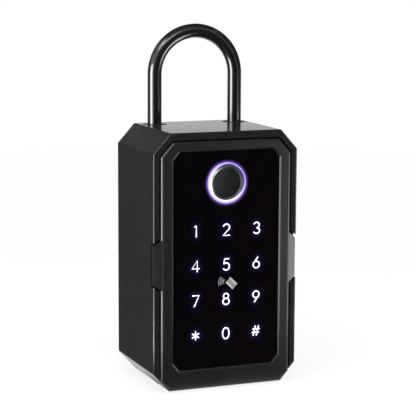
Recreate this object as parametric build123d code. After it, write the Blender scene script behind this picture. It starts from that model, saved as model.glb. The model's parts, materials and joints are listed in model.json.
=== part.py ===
from build123d import *
import math
import os

# Fingerprint key box: a die-cast case with a drop-down keypad door and a lift-out shackle.
# Millimetres, +Z up. The door faces -Y, X runs across the door.
# The origin is at the middle of the footprint, on the surface that the box stands on.

# Case
case_width = 74.0
case_height = 125.0
case_depth = 53.5
side_wall = 3.0
roof_wall = 3.5
floor_wall = 3.0
back_wall = 3.5
chamfer_across = 8.6
chamfer_up = 9.6
corner_round = 1.2
rim_round = 0.8
back_round = 2.0
cavity_round = 1.5
cavity_edge = 1.0

# How far a cutting shape runs past the face that it opens
overcut = 1.0

# Door
door_gap = 0.6
door_proud = 1.0
door_lift = 0.8
panel_depth = 8.5
panel_wall = 2.6
panel_floor = 1.5
panel_edge_round = 1.5
bezel_side = 6.2
bezel_top = 5.0
bezel_bottom = 9.9
bezel_bevel = 0.8
glass_chamfer_across = 3.4
glass_chamfer_up = 4.0
glass_recess = 0.8
glass_thick = 1.8
glass_clearance = 0.15
glass_seat = 1.5
board_pocket = 1.7

# Touch board, its lamps and its plug to the main board
touch_board_thick = 1.2
touch_board_gap = 0.05
key_rise = 16.4
key_drop = 22.6
key_pitch_across = 15.7
key_columns = 3
key_rows = 4
lamp_width = 3.2
lamp_height = 1.6
lamp_thick = 0.38
lamp_gap = 0.01
header_width = 14.0
header_height = 3.2
header_key_gap = 1.95
header_margin = 0.6

# Door hinge
hinge_setback = 5.75
hinge_height = 12.0
pin_radius = 1.5
pin_clearance = 0.05
pin_entry = 1.8
pin_end_gap = 0.2
pin_length = 3.8
boss_radius = 3.2
boss_length = 5.6
boss_end_wall = 0.8
pin_spring_wire = 0.2
pin_spring_turns = 2
chin_radius = 16.5
chin_top = 7.0
chin_gap = 0.6

# Finger tabs on the door, and their notches in the case
tab_drop = 0.2
tab_base = 23.7
tab_tip = 18.8
tab_thick = 3.0
tab_slope = 1.4
tab_inset = 0.5
notch_gap_above = 1.9
notch_gap_below = 1.3
notch_floor_gap = 0.3

# Ledge and gasket that the door closes on
gasket_gap = 0.15
gasket_thick = 0.95
gasket_width = 1.8
gasket_inset = 0.1
ledge_depth = 3.0
ledge_width = 2.6
ledge_break = 20.0
ledge_start = 1.5

# Fingerprint reader
reader_drop = 20.5
sensor_radius = 7.0
sensor_dish = 0.5
sensor_head = 2.4
sensor_bezel_radius = 8.3
bezel_stand = 0.45
bezel_mouth = 0.5
bezel_lip = 0.35
bezel_deep = 2.6
ring_radius = 9.8
ring_deep = 2.2
reader_clearance = 0.1
reader_fit = 0.05
reader_body_start = 2.3
reader_body_depth = 6.6
flex_thick = 0.25
flex_width = 8.0
flex_bend = 1.5
flex_landing = 5.0

# Shackle
rod_radius = 3.5
leg_inset = 15.8
shackle_from_back = 11.5
shackle_rise = 24.5
leg_tail = 5.9
leg_tip_chamfer = 1.0
neck_radius = 2.4
neck_margin = 0.4
bush_wall = 1.4
bush_clearance = 0.05
bush_collar = 0.8
bush_collar_wall = 1.2
boss_wall = 1.8

# Keyhole plate and the bracket that it slides on
plate_drop = 10.6
plate_thick = 2.0
plate_gap = 0.2
plate_width = 11.0
plate_travel = 5.0
keyhole_clearance = 0.3
slot_clearance = 0.15
plate_end = 4.0
thumb_width = 10.0
thumb_reach = 6.0
thumb_drop = 9.0
bracket_thick = 1.5
bracket_end = 6.0
bracket_gap = 0.4
bracket_set_back = 0.5
bracket_round = 2.0
guide_boss_radius = 3.2
guide_boss_spacing = 16.0

# Strike under the roof
strike_width = 16.0
strike_thick = 1.4
strike_gap = 0.5
strike_drop = 7.2
strike_foot = 11.0
strike_round = 1.5
strike_screw_setback = 3.4

# Inner cover on the back of the door
cover_depth = 19.0
cover_bottom = 7.6
cover_drop = 9.5
cover_wall = 1.5
cover_chamfer = 2.5
cover_corner = 1.0
cover_edge = 0.8
cover_side_gap = 0.4
post_radius = 3.0
small_post_radius = 2.4
post_inset = 5.0
post_end = 0.5
door_post = 5.0
door_post_gap = 0.1

# Bolt, rack and pinion
gear_module = 0.5
pinion_teeth = 16
gear_backlash = 0.08
pressure_angle = 20.0
flank_steps = 4
pinion_width = 4.0
pinion_drop = 15.8
bolt_width = 12.0
bolt_thick = 3.5
bolt_drop = 8.7
bolt_length = 26.8
bolt_gap = 0.35
bolt_clearance = 0.2
bolt_lead = 1.0
rack_width = 6.4
rack_teeth = 10
rack_teeth_below = 5
rib_thick = 1.5
guide_thick = 1.3
guide_gap = 0.05
guide_margin = 2.6
guide_round = 1.5
guide_screw_out = 1.2
guide_screw_rise = 2.0
guide_screw_gap = 0.6
shaft_radius = 1.5
hub_radius = 2.4
hub_length = 2.0

# Motor and gearbox
gearbox_length = 9.0
gearbox_height = 12.0
gearbox_depth = 10.0
gearbox_plate = 1.2
gearbox_window = 7.2
gearbox_window_depth = 1.4
motor_length = 14.2
motor_radius = 6.0
motor_side_gap = 2.1
gearbox_gap = 0.6
gearbox_fit = 0.3
clamp_width = 6.0
clamp_thick = 1.0
clamp_end = 2.6
clamp_round = 1.2
clamp_from_gearbox = 3.6
clamp_screw_gap = 0.4
rest_length = 18.0
rest_height = 4.0
rest_inset = 1.0

# Batteries
cell_radius = 5.25
cell_length = 44.5
cell_edge = 0.5
cell_nub_radius = 1.9
cell_nub = 0.8
cell_gap = 0.5
cell_count = 4
cell_rest_gap = 0.2
bay_bottom = 21.0
spring_space = 4.0
spring_wire = 0.3
spring_radius = 2.6
spring_turns = 3
spring_fit = 0.05
wire_sides = 6
turn_steps = 8
contact_thick = 0.5
contact_width = 8.0
contact_end_gap = 0.1
lid_thick = 1.4
lid_gap = 0.15
lid_margin = 5.5
lid_side = 0.8
lid_round = 1.0
lid_screw_inset = 2.9
lid_screw_sink = 0.9
grip_count = 5
grip_pitch = 2.2
grip_width = 16.0
grip_rise = 8.0
grip_cut = 0.4

# Boards and small electronics
main_board_thick = 1.6
main_board_round = 1.5
board_side_gap = 3.4
board_bottom_gap = 0.4
board_drop = 4.0
board_standoff = 0.9
board_notch = 3.3
pad_radius = 2.0
pad_inset_across = 3.0
pad_inset_up = 10.0
module_width = 16.0
module_height = 18.0
module_thick = 0.8
module_inset = 1.5
module_drop = 6.0
buzzer_inset = 10.5
buzzer_drop = 24.0
buzzer_radius = 4.2
buzzer_thick = 2.2
buzzer_hole_radius = 1.05
buzzer_hole_depth = 0.8
button_x = 12.0
button_rise = 4.4
button_radius = 1.6
button_travel = 0.8
button_play = 0.1
button_recess = 0.3
button_collar = 0.9
switch_size = 4.0
switch_thick = 0.9

# Emergency power socket in the door's chin
usb_width = 9.0
usb_thick = 3.2
usb_length = 7.4
usb_base = 3.0
usb_shell = 0.35
usb_lift = 0.3
usb_tongue_width = 6.4
usb_tongue_thick = 0.7
usb_clearance = 0.3
usb_cover_gap = 0.2
cap_margin = 1.8
cap_thick = 1.2
cap_clearance = 0.15
cap_play = 0.1
cap_pull_width = 4.4
cap_pull_thick = 1.0
cap_pull_drop = 0.3

# Key hook and wall holes
hook_drop = 37.5
hook_wire = 1.25
hook_reach = 9.0
hook_rise = 6.0
hook_bend = 3.0
hook_plate_width = 12.0
hook_plate_height = 16.0
hook_plate_thick = 1.2
hook_plate_round = 2.0
hook_screw_margin = 0.6
wall_hole_radius = 2.5
wall_hole_head_radius = 4.6
wall_hole_head_depth = 1.2
wall_hole_across = 44.0
wall_hole_up = 74.0
wall_hole_middle = 52.0

# Screws, and how far each kind bites into what it holds to
screw_radius = 1.25
screw_head_radius = 2.3
screw_head = 1.2
screw_head_edge = 0.45
screw_slot = 0.5
screw_clearance = 0.15
screw_spare = 0.2
head_sink = 0.3
wall_bite = 1.8
bracket_bite = 6.0
post_bite = 5.0
cover_screw_tip = 0.8

# Planes and levels that follow from the sizes above
half_width = case_width / 2
front = -(case_depth + door_proud) / 2
rim = front + door_proud
back = rim + case_depth
back_inner = back - back_wall
roof = case_height - roof_wall
panel_back = front + panel_depth
door_half_width = half_width - side_wall - door_gap
door_top = roof - door_gap
tab_middle = case_height / 2 - tab_drop
hinge_y = rim + hinge_setback
glass_front = front + glass_recess
glass_back = glass_front + glass_thick
touch_board_front = glass_back + touch_board_gap
touch_board_back = touch_board_front + touch_board_thick
board_back = glass_back + board_pocket
panel_floor_back = board_back + panel_floor
glass_low = door_lift + bezel_bottom
reader_height = door_top - reader_drop
reader_front = glass_front - bezel_stand
cover_back = panel_floor_back + cover_depth
cover_top = roof - cover_drop
cover_half_width = door_half_width - boss_length - cover_side_gap
shackle_y = back - shackle_from_back
leg_x = half_width - leg_inset
plate_top = roof - plate_drop
plate_low = plate_top - plate_thick
bracket_top = plate_low - plate_gap
leg_end = plate_low - leg_tail
arch_height = case_height + shackle_rise
strike_front = panel_back + strike_gap
bolt_front = strike_front + strike_thick + bolt_gap
bolt_back = bolt_front + bolt_thick
bolt_high = roof - bolt_drop
bolt_low = bolt_high - bolt_length
pitch_radius = gear_module * pinion_teeth / 2
pinion_y = bolt_back - gear_module + pitch_radius
pinion_height = bolt_high - pinion_drop
motor_front = pinion_y - gearbox_depth / 2
gearbox_low = pinion_height - gearbox_height / 2
guide_screw_height = gearbox_low - guide_screw_gap - small_post_radius
guide_low = guide_screw_height - guide_screw_rise
gearbox_x = cover_half_width - cover_wall - motor_side_gap - motor_length - gearbox_length
bolt_middle = gearbox_x - gearbox_gap - bolt_width / 2
clamp_x = gearbox_x + gearbox_length + clamp_from_gearbox
board_front = panel_floor_back + board_standoff
main_board_back = board_front + main_board_thick
main_board_half_width = cover_half_width - cover_wall - board_side_gap
main_board_bottom = cover_bottom + cover_wall + board_bottom_gap
main_board_top = bolt_low - board_drop
buzzer_x = buzzer_inset - main_board_half_width
key_low = glass_low + key_rise
key_pitch_up = (reader_height - key_drop - key_low) / (key_rows - 1)
header_row = key_low + key_pitch_up * (key_rows - 2)
header_middle = header_row + (lamp_height + header_height) / 2 + header_key_gap
button_height = cover_bottom + button_rise
bay_half_width = (cell_count * 2 * cell_radius + (cell_count + 1) * cell_gap) / 2
bay_top = bay_bottom + spring_space + cell_length + cell_nub + contact_thick
lid_half = bay_half_width + lid_side
lid_front = cover_back - lid_thick
lid_low = bay_bottom - lid_margin
lid_high = bay_top + lid_margin
cell_y = lid_front - lid_gap - cell_radius
bay_floor = cell_y - cell_radius - cell_rest_gap
hook_height = roof - hook_drop
usb_y = main_board_back + usb_thick / 2
collar_radius = rod_radius + bush_wall + bush_collar_wall
tab_back = front + tab_slope + tab_thick
ledge_low = hinge_height + chin_radius + chin_gap + ledge_start
pin_start = half_width - side_wall + pin_entry - pin_end_gap - pin_length
pin_bore_start = door_half_width - boss_length + boss_end_wall


def block(x0, x1, y0, y1, z0, z1):
    """Box between two corners."""
    corner = Pos((x0 + x1) / 2, (y0 + y1) / 2, (z0 + z1) / 2)
    return corner * Box(x1 - x0, y1 - y0, z1 - z0)


def rod(radius, x, y, z, length, axis):
    """Round bar that starts at a point and runs along +X, +Y or +Z."""
    turn = {"x": Rot(0, 90, 0), "y": Rot(-90, 0, 0), "z": Rot(0, 0, 0)}[axis]
    start = (Align.CENTER, Align.CENTER, Align.MIN)
    return Pos(x, y, z) * turn * Cylinder(radius, length, align=start)


def prism(points, y0, y1, radius=0.0):
    """Front-view outline carried from one depth to another, with rounded corners."""
    sketch = make_face(Polyline(*points, close=True))
    if radius:
        sketch = fillet(sketch.vertices(), radius)
    return extrude(Plane.XZ.offset(-y1) * sketch, y1 - y0, dir=(0, -1, 0))


def side_prism(points, x0, x1):
    """Side-view outline, given as Y and Z, carried from one X to another."""
    sketch = make_face(Polyline(*points, close=True))
    return extrude(Plane.YZ.offset(x0) * sketch, x1 - x0, dir=(1, 0, 0))


def slot_prism(width, thick, z0, z1):
    """Upright bar with round ends, at the power socket's place."""
    return extrude(Plane.XY.offset(z0) * Pos(0, usb_y) * SlotOverall(width, thick), z1 - z0, dir=(0, 0, 1))


def chamfer_corners(side, level, inset):
    """Where the case's corner slope, moved inwards, meets an upright side and a level edge."""
    slope = math.hypot(chamfer_across, chamfer_up)
    shoulder = case_height - chamfer_up
    low = shoulder - (inset * slope + (side - half_width) * chamfer_up) / chamfer_across
    across = half_width - (inset * slope + (level - shoulder) * chamfer_across) / chamfer_up
    return (side, low), (across, level)


def case_outline(side_inset, top_inset, bottom_inset, slope_inset, bottom_slope_inset=None):
    """The case's eight-sided outline, each side moved inwards by its own amount."""
    if bottom_slope_inset is None:
        bottom_slope_inset = slope_inset
    side = half_width - side_inset
    upper = chamfer_corners(side, case_height - top_inset, slope_inset)
    mirrored = chamfer_corners(side, case_height - bottom_inset, bottom_slope_inset)
    lower = [(x, case_height - z) for x, z in mirrored]
    right = [lower[1], lower[0], upper[0], upper[1]]
    return right + [(-x, z) for x, z in reversed(right)]


def chamfered_box(half, low, high, across, up):
    """Outline of a box with four sloped corners, about the middle of the door."""
    right = [(half - across, low), (half, low + up), (half, high - up), (half - across, high)]
    return right + [(-x, z) for x, z in reversed(right)]


def door_outline(inset=0.0):
    """The door's outline. Its lower slopes lie on the case's own."""
    edge = side_wall + door_gap + inset
    return case_outline(edge, roof_wall + door_gap + inset, door_lift + inset, edge, inset)


def glass_outline(inset=0.0):
    half = door_half_width - bezel_side - inset
    high = door_top - bezel_top - inset
    return chamfered_box(half, glass_low + inset, high, glass_chamfer_across, glass_chamfer_up)


def edges_at_y(solid, y):
    """The edges that lie wholly at one depth."""
    flat = [e for e in solid.edges() if e.bounding_box().size.Y < 0.01]
    return [e for e in flat if abs(e.bounding_box().min.Y - y) < 0.01]


def mirror_x(solid):
    return mirror(solid, about=Plane.YZ)


def both_sides(solid):
    """Separate like pieces, the same at each side."""
    return Compound(children=[*solid.solids(), *mirror_x(solid).solids()])


def group(solids):
    """Separate like pieces that share one node."""
    return Compound(children=[s for item in solids for s in item.solids()])


def hinge_round(radius, x0, x1):
    """Solid round bar about the door's hinge axis."""
    return rod(radius, x0, hinge_y, hinge_height, x1 - x0, "x")


def hinge_pin_bore(x0, x1):
    return hinge_round(pin_radius + pin_clearance, x0, x1)


def screw(x, y, z, length, direction):
    """Pan-head screw. Its head's underside is at the point and it drives along the direction."""
    start = (Align.CENTER, Align.CENTER, Align.MIN)
    end = (Align.CENTER, Align.CENTER, Align.MAX)
    body = Cylinder(screw_radius, length, align=start) + Cylinder(screw_head_radius, screw_head, align=end)
    body = chamfer(body.edges().group_by(Axis.Z)[0], screw_head_edge)
    body -= Pos(0, 0, -screw_head) * Box(screw_head_radius, screw_slot, screw_head)
    turn = {"+z": Rot(0, 0, 0), "-y": Rot(90, 0, 0), "+y": Rot(-90, 0, 0)}[direction]
    return Pos(x, y, z) * turn * body


def coil(radius, wire, turns, length):
    """Compression spring along +Z, its wire bent in short straight runs."""
    steps = turns * turn_steps
    rise = (length - 2 * wire) / steps
    angles = [i * 2 * math.pi / turn_steps for i in range(steps + 1)]
    route = [(radius * math.cos(a), radius * math.sin(a), wire + i * rise) for i, a in enumerate(angles)]
    path = Polyline(*route)
    section = Plane(origin=path @ 0, z_dir=path % 0) * RegularPolygon(wire, wire_sides)
    return sweep(section, path=path, transition=Transition.RIGHT)


def tab_outline(grow_low, grow_high, reach):
    """Outline of a finger tab on the +X side, out to a distance from the middle."""
    root = door_half_width - panel_edge_round
    tip = half_width - tab_inset
    slope = (tab_base - tab_tip) / 2 / (tip - door_half_width)

    def half(x):
        return tab_base / 2 - slope * (x - door_half_width)

    low = [(x, tab_middle - half(x) - grow_low) for x in (root, reach)]
    high = [(x, tab_middle + half(x) + grow_high) for x in (reach, root)]
    return low + high


def case_shell():
    body = prism(case_outline(0, 0, 0, 0), rim, back, corner_round)
    body = fillet(edges_at_y(body, back), back_round)
    body = fillet(edges_at_y(body, rim), rim_round)
    cavity = prism(cavity_outline(), rim - overcut, back_inner, cavity_round)
    cavity = chamfer(edges_at_y(cavity, back_inner), cavity_edge)
    body -= cavity
    body += door_ledge()
    body += leg_bosses()
    body -= shackle_holes()
    # The floor's front edge is hollowed about the hinge, so the door's chin can swing.
    side = half_width - side_wall
    body -= hinge_round(chin_radius + chin_gap, -side, side)
    body -= block(-side, side, rim - overcut, hinge_y, -overcut, hinge_height)
    # Notches for the finger tabs, and blind holes for the hinge pins.
    notch = prism(tab_outline(notch_gap_below, notch_gap_above, half_width + 2 * overcut), rim - 2 * overcut,
                  tab_back + notch_floor_gap)
    body -= notch + mirror_x(notch)
    pin_hole = hinge_pin_bore(side - overcut, side + pin_entry)
    body -= pin_hole + mirror_x(pin_hole)
    # Screw holes for the strike and the key hook.
    depth = wall_bite + screw_spare + overcut
    for x in strike_screw_places():
        body -= rod(screw_radius, x, strike_screw_y(), roof - overcut, depth, "z")
    for z in hook_screw_places():
        body -= rod(screw_radius, 0, back_inner - overcut, z, depth, "y")
    return body - wall_holes()


def cavity_outline():
    return case_outline(side_wall, roof_wall, floor_wall, side_wall)


def door_ledge():
    """Ledge along both sides and the roof, broken where the bolt passes."""
    ledge_front = panel_back + gasket_gap + gasket_thick
    ledge = prism(cavity_outline(), ledge_front, ledge_front + ledge_depth)
    inset = side_wall + ledge_width
    narrowed = case_outline(inset, roof_wall + ledge_width, floor_wall, inset)
    ledge -= prism(narrowed, ledge_front - overcut, ledge_front + ledge_depth + overcut)
    return ledge - ledge_breaks()


def ledge_breaks():
    """Space with no ledge or gasket: the door's foot, and the bolt's path."""
    foot = block(-half_width, half_width, rim, back, 0, ledge_low)
    left = bolt_middle - ledge_break / 2
    return foot + block(left, left + ledge_break, rim, back, roof - ledge_width - overcut, roof + overcut)


def leg_bosses():
    """The roof carries a boss round each shackle leg and two that guide the keyhole plate."""
    low = plate_top + plate_gap
    leg_boss = rod(rod_radius + bush_wall + boss_wall, leg_x, shackle_y, low, roof + plate_gap - low, "z")
    guide_x = guide_boss_spacing / 2
    guide_boss = rod(guide_boss_radius, guide_x, shackle_y, bracket_top, roof + plate_gap - bracket_top, "z")
    bosses = leg_boss + guide_boss
    return bosses + mirror_x(bosses)


def shackle_holes():
    """Holes for the leg bushes, and for the screws that hold the bracket."""
    top = case_height + overcut
    low = plate_top - overcut
    hole = rod(rod_radius + bush_wall, leg_x, shackle_y, low, top - low, "z")
    collar_low = case_height - bush_collar
    hole += rod(collar_radius, leg_x, shackle_y, collar_low, top - collar_low, "z")
    depth = bracket_bite + screw_spare + overcut
    hole += rod(screw_radius, guide_boss_spacing / 2, shackle_y, bracket_top - overcut, depth, "z")
    return hole + mirror_x(hole)


def wall_holes():
    """Four holes through the back, sunk on the inside for the screws' heads."""
    holes = []
    for x in (-wall_hole_across / 2, wall_hole_across / 2):
        for z in (wall_hole_middle - wall_hole_up / 2, wall_hole_middle + wall_hole_up / 2):
            start = back_inner - overcut
            holes.append(rod(wall_hole_radius, x, start, z, back_wall + 2 * overcut, "y"))
            holes.append(rod(wall_hole_head_radius, x, start, z, overcut + wall_hole_head_depth, "y"))
    return holes


def strike_screw_places():
    return (bolt_middle - strike_width / 4, bolt_middle + strike_width / 4)


def strike_screw_y():
    return strike_front + strike_thick + bolt_thick + strike_screw_setback


def hook_screw_places():
    reach = hook_plate_height / 2 - screw_head_radius - hook_screw_margin
    return (hook_height - reach, hook_height + reach)


def door_gasket():
    """Rubber strip on the ledge, standing a little off the walls."""
    front_face = panel_back + gasket_gap
    side = side_wall + gasket_inset
    top = roof_wall + gasket_inset
    inner = case_outline(side + gasket_width, top + gasket_width, floor_wall, side + gasket_width)
    ring = prism(case_outline(side, top, floor_wall, side), front_face, front_face + gasket_thick)
    ring -= prism(inner, front_face - overcut, front_face + gasket_thick + overcut)
    return ring - ledge_breaks()


def strike_plate():
    """Bent plate: the bolt hooks behind its flange."""
    low = roof - strike_drop
    left = bolt_middle - strike_width / 2
    right = bolt_middle + strike_width / 2
    plate = block(left, right, strike_front, strike_front + strike_thick, low, roof)
    foot_end = strike_front + strike_thick + strike_foot
    plate += block(left, right, strike_front, foot_end, roof - strike_thick, roof)
    plate = fillet(plate.edges().filter_by(Axis.Z).group_by(Axis.Y)[-1], strike_round)
    plate = chamfer(plate.edges().filter_by(Axis.X).group_by(Axis.Z)[0], strike_thick * 0.3)
    for x in strike_screw_places():
        plate -= rod(screw_radius + screw_clearance, x, strike_screw_y(), low, strike_drop + overcut, "z")
    return plate


def strike_screws():
    y = strike_screw_y()
    length = strike_thick + wall_bite
    return group(screw(x, y, roof - strike_thick, length, "+z") for x in strike_screw_places())


def shackle():
    leg = rod(rod_radius, leg_x, shackle_y, leg_end, arch_height - leg_end, "z")
    leg = chamfer(leg.edges().group_by(Axis.Z)[0], leg_tip_chamfer)
    # A groove round each leg, where the keyhole plate holds it.
    groove_low = plate_low - neck_margin
    groove_high = plate_top + neck_margin
    groove = rod(rod_radius + overcut, leg_x, shackle_y, groove_low, groove_high - groove_low, "z")
    length = groove_high - groove_low + 2 * overcut
    groove -= rod(neck_radius, leg_x, shackle_y, groove_low - overcut, length, "z")
    leg -= groove
    start = Plane(origin=(leg_x, shackle_y, arch_height), z_dir=(0, 0, 1)) * Circle(rod_radius)
    arch = revolve(start, Axis((0, shackle_y, arch_height), (0, 1, 0)), -180)
    return leg + mirror_x(leg) + arch


def shackle_bushes():
    low = plate_top + plate_gap
    sleeve = rod(rod_radius + bush_wall, leg_x, shackle_y, low, case_height - low, "z")
    sleeve += rod(collar_radius, leg_x, shackle_y, case_height - bush_collar, bush_collar, "z")
    length = case_height - low + 2 * overcut
    sleeve -= rod(rod_radius + bush_clearance, leg_x, shackle_y, low - overcut, length, "z")
    return both_sides(sleeve)


def plate_slot(x, half):
    """Straight slot through the keyhole plate, as long as its travel."""
    low = plate_low - overcut
    high = plate_top + overcut
    slot = block(x - plate_travel, x, shackle_y - half, shackle_y + half, low, high)
    for end in (x - plate_travel, x):
        slot += rod(half, end, shackle_y, low, high - low, "z")
    return slot


def lock_slide():
    """Keyhole plate with a thumb tab. It holds the legs' necks in its narrow slots."""
    low_y = shackle_y - plate_width / 2
    left = -leg_x - plate_travel - neck_radius - plate_end
    right = leg_x + rod_radius + plate_end
    plate = block(left, right, low_y, low_y + plate_width, plate_low, plate_top)
    half = thumb_width / 2
    thumb_front = low_y - thumb_reach
    plate += block(-half, half, thumb_front, low_y, plate_low, plate_top)
    plate += block(-half, half, thumb_front, thumb_front + plate_thick, plate_low - thumb_drop, plate_top)
    depth = plate_thick + 2 * overcut
    for x in (-leg_x, leg_x):
        plate -= rod(rod_radius + keyhole_clearance, x, shackle_y, plate_low - overcut, depth, "z")
        plate -= plate_slot(x, neck_radius + slot_clearance)
    for x in (-guide_boss_spacing / 2, guide_boss_spacing / 2):
        plate -= plate_slot(x, guide_boss_radius + slot_clearance)
    return plate


def lock_bracket():
    half = leg_x + bracket_end
    front_y = shackle_y - plate_width / 2 + bracket_set_back
    low = bracket_top - bracket_thick
    plate = block(-half, half, front_y, back_inner - bracket_gap, low, bracket_top)
    plate = fillet(plate.edges().filter_by(Axis.Z).group_by(Axis.Y)[0], bracket_round)
    low -= overcut
    depth = bracket_thick + 2 * overcut
    for x in (-leg_x, leg_x):
        plate -= rod(rod_radius + keyhole_clearance, x, shackle_y, low, depth, "z")
    for x in (-guide_boss_spacing / 2, guide_boss_spacing / 2):
        plate -= rod(screw_radius + screw_clearance, x, shackle_y, low, depth, "z")
    return plate


def bracket_screws():
    low = bracket_top - bracket_thick
    places = (-guide_boss_spacing / 2, guide_boss_spacing / 2)
    return group(screw(x, shackle_y, low, bracket_thick + bracket_bite, "+z") for x in places)


def key_hook():
    """Bent wire hook on a small screwed plate."""
    face = back_inner - hook_plate_thick
    half = hook_plate_width / 2
    low = hook_height - hook_plate_height / 2
    plate = block(-half, half, face, back_inner, low, low + hook_plate_height)
    plate = fillet(plate.edges().filter_by(Axis.Y), hook_plate_round)
    root = (0, back_inner - hook_plate_thick / 2, hook_height)
    tip = (0, face - hook_reach, hook_height + hook_rise)
    path = FilletPolyline(root, (0, face - hook_reach, hook_height), tip, radius=hook_bend)
    wire = sweep(Plane(origin=root, z_dir=(0, -1, 0)) * Circle(hook_wire), path=path)
    depth = hook_plate_thick + 2 * overcut
    for z in hook_screw_places():
        plate -= rod(screw_radius + screw_clearance, 0, face - overcut, z, depth, "y")
    return plate + wire + Pos(*tip) * Sphere(hook_wire)


def hook_screws():
    face = back_inner - hook_plate_thick
    return group(screw(0, face, z, hook_plate_thick + wall_bite, "+y") for z in hook_screw_places())


def door_panel():
    body = prism(door_outline(), front, panel_back, corner_round)
    body = fillet(edges_at_y(body, front), panel_edge_round)
    tab = finger_tab()
    body += tab + mirror_x(tab)
    # Bevelled opening, glass seat, board pocket and the space behind the floor.
    body -= opening_bevel()
    body -= prism(glass_outline(-glass_clearance), front - overcut, glass_back)
    body -= prism(glass_outline(glass_seat), front, board_back)
    body -= prism(door_outline(panel_wall), panel_floor_back, panel_back + overcut)
    body += door_chin()
    swept = hinge_round(chin_radius - panel_wall, -half_width, half_width)
    body -= prism(door_outline(panel_wall), panel_floor_back, back) & swept
    # Pads for the main board, posts for the cover's screws and bosses for the hinge pins.
    root = panel_floor_back - panel_floor / 2
    for x, z in pad_places():
        body += rod(pad_radius, x, root, z, board_standoff + panel_floor / 2, "y")
    for x, z in post_places():
        body += rod(post_radius, x, root, z, door_post + panel_floor / 2, "y")
        hole_end = board_back + cover_screw_tip - screw_spare
        body -= rod(screw_radius, x, hole_end, z, door_post + 2 * panel_floor, "y")
    boss = hinge_boss()
    body += boss + mirror_x(boss)
    bore = hinge_pin_bore(pin_bore_start, door_half_width + overcut)
    body -= bore + mirror_x(bore)
    # Sensor hole, the window for the boards' plug, and the power socket's mouth.
    hole_radius = ring_radius + 4 * reader_clearance
    body -= rod(hole_radius, 0, front, reader_height, panel_floor_back - front + overcut, "y")
    body -= header_block(header_margin, glass_back, panel_floor_back + overcut)
    body -= usb_mouth(cap_clearance, door_lift - overcut, door_lift + panel_wall + overcut)
    body -= usb_mouth(cap_margin + cap_clearance, door_lift - overcut, door_lift + cap_thick)
    return body


def finger_tab():
    """Tab at the door's side, with a face that slopes back from the bezel."""
    tip = half_width - tab_inset
    root = door_half_width - panel_edge_round
    tab = prism(tab_outline(0, 0, tip), front, tab_back)
    slope = tab_slope / (tip - root)
    end = tip + overcut
    sloped = [(root, front), (end, front + slope * (end - root))]
    wedge = sloped + [(end, front - overcut), (root, front - overcut)]
    face = make_face(Polyline(*wedge, close=True))
    return tab - extrude(Plane.XY.offset(tab_middle - tab_base) * face, 2 * tab_base, dir=(0, 0, 1))


def door_chin():
    """The chin closes the case's floor under the door, and turns about the hinge."""
    chin = prism(door_outline(), panel_back - overcut, back, corner_round)
    chin &= block(-half_width, half_width, rim, back, 0, chin_top)
    return chin & hinge_round(chin_radius, -half_width, half_width)


def hinge_boss():
    left = door_half_width - boss_length
    boss = hinge_round(boss_radius, left, door_half_width)
    low = hinge_height - boss_radius
    root = board_back + panel_floor / 2
    return boss + block(left, door_half_width, root, hinge_y, low, low + 2 * boss_radius)


def opening_bevel():
    """The opening's slope, from the bezel's face down to the glass."""
    wide = make_face(Polyline(*glass_outline(-bezel_bevel), close=True))
    narrow = make_face(Polyline(*glass_outline(), close=True))
    return loft([Plane.XZ.offset(-front) * wide, Plane.XZ.offset(-glass_front) * narrow])


def pad_places():
    x = main_board_half_width - pad_inset_across
    low = main_board_bottom + pad_inset_up
    high = main_board_top - pad_inset_up
    return [(-x, low), (x, low), (-x, high), (x, high)]


def post_places():
    x = cover_half_width - post_inset
    return [(sx, z) for sx in (-x, x) for z in (cover_bottom + post_inset, cover_top - post_inset)]


def usb_mouth(grow, z0, z1):
    """The power socket's opening, grown all round."""
    extra = 2 * (usb_clearance + grow)
    return slot_prism(usb_width + extra, usb_thick + extra, z0, z1)


def hinge_pins():
    """Sprung stub pins that the door turns on."""
    pin = hinge_round(pin_radius, pin_start, pin_start + pin_length)
    return both_sides(chamfer(pin.edges().group_by(Axis.X)[-1], pin_end_gap))


def hinge_pin_springs():
    length = pin_start - pin_bore_start - 2 * spring_fit
    spring = coil(pin_radius - 2 * pin_spring_wire, pin_spring_wire, pin_spring_turns, length)
    spring = Pos(pin_bore_start + spring_fit, hinge_y, hinge_height) * Rot(0, 90, 0) * spring
    return both_sides(spring)


def glass_panel():
    pane = prism(glass_outline(), glass_front, glass_back)
    return pane - reader_hole()


def touch_board():
    board = prism(glass_outline(glass_seat + usb_cover_gap), touch_board_front, touch_board_back)
    return board - reader_hole()


def reader_hole():
    return rod(ring_radius + reader_clearance, 0, front, reader_height, reader_body_depth, "y")


def key_places():
    """The middle of every key, column by column."""
    columns = [(i - (key_columns - 1) / 2) * key_pitch_across for i in range(key_columns)]
    return [(x, key_low + key_pitch_up * j) for x in columns for j in range(key_rows)]


def key_leds():
    """One small lamp behind each key."""
    y = touch_board_back + lamp_gap + lamp_thick / 2
    return group(Pos(x, y, z) * Box(lamp_width, lamp_thick, lamp_height) for x, z in key_places())


def header_block(margin, y0, y1):
    """The boards' plug, grown all round by a margin."""
    half = header_width / 2 + margin
    reach = header_height / 2 + margin
    return block(-half, half, y0, y1, header_middle - reach, header_middle + reach)


def board_header():
    return header_block(0, touch_board_back, board_front)


def fingerprint_sensor():
    """Round sensor with a dished face, on the wider body behind the light ring."""
    head = rod(sensor_radius, 0, glass_front, reader_height, sensor_head, "y")
    dish_radius = (sensor_radius ** 2 + sensor_dish ** 2) / (2 * sensor_dish)
    head -= Pos(0, glass_front + sensor_dish - dish_radius, reader_height) * Sphere(dish_radius)
    start = glass_front + reader_body_start
    length = reader_body_depth - reader_body_start
    return head + rod(ring_radius - 2 * reader_clearance, 0, start, reader_height, length, "y")


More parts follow.
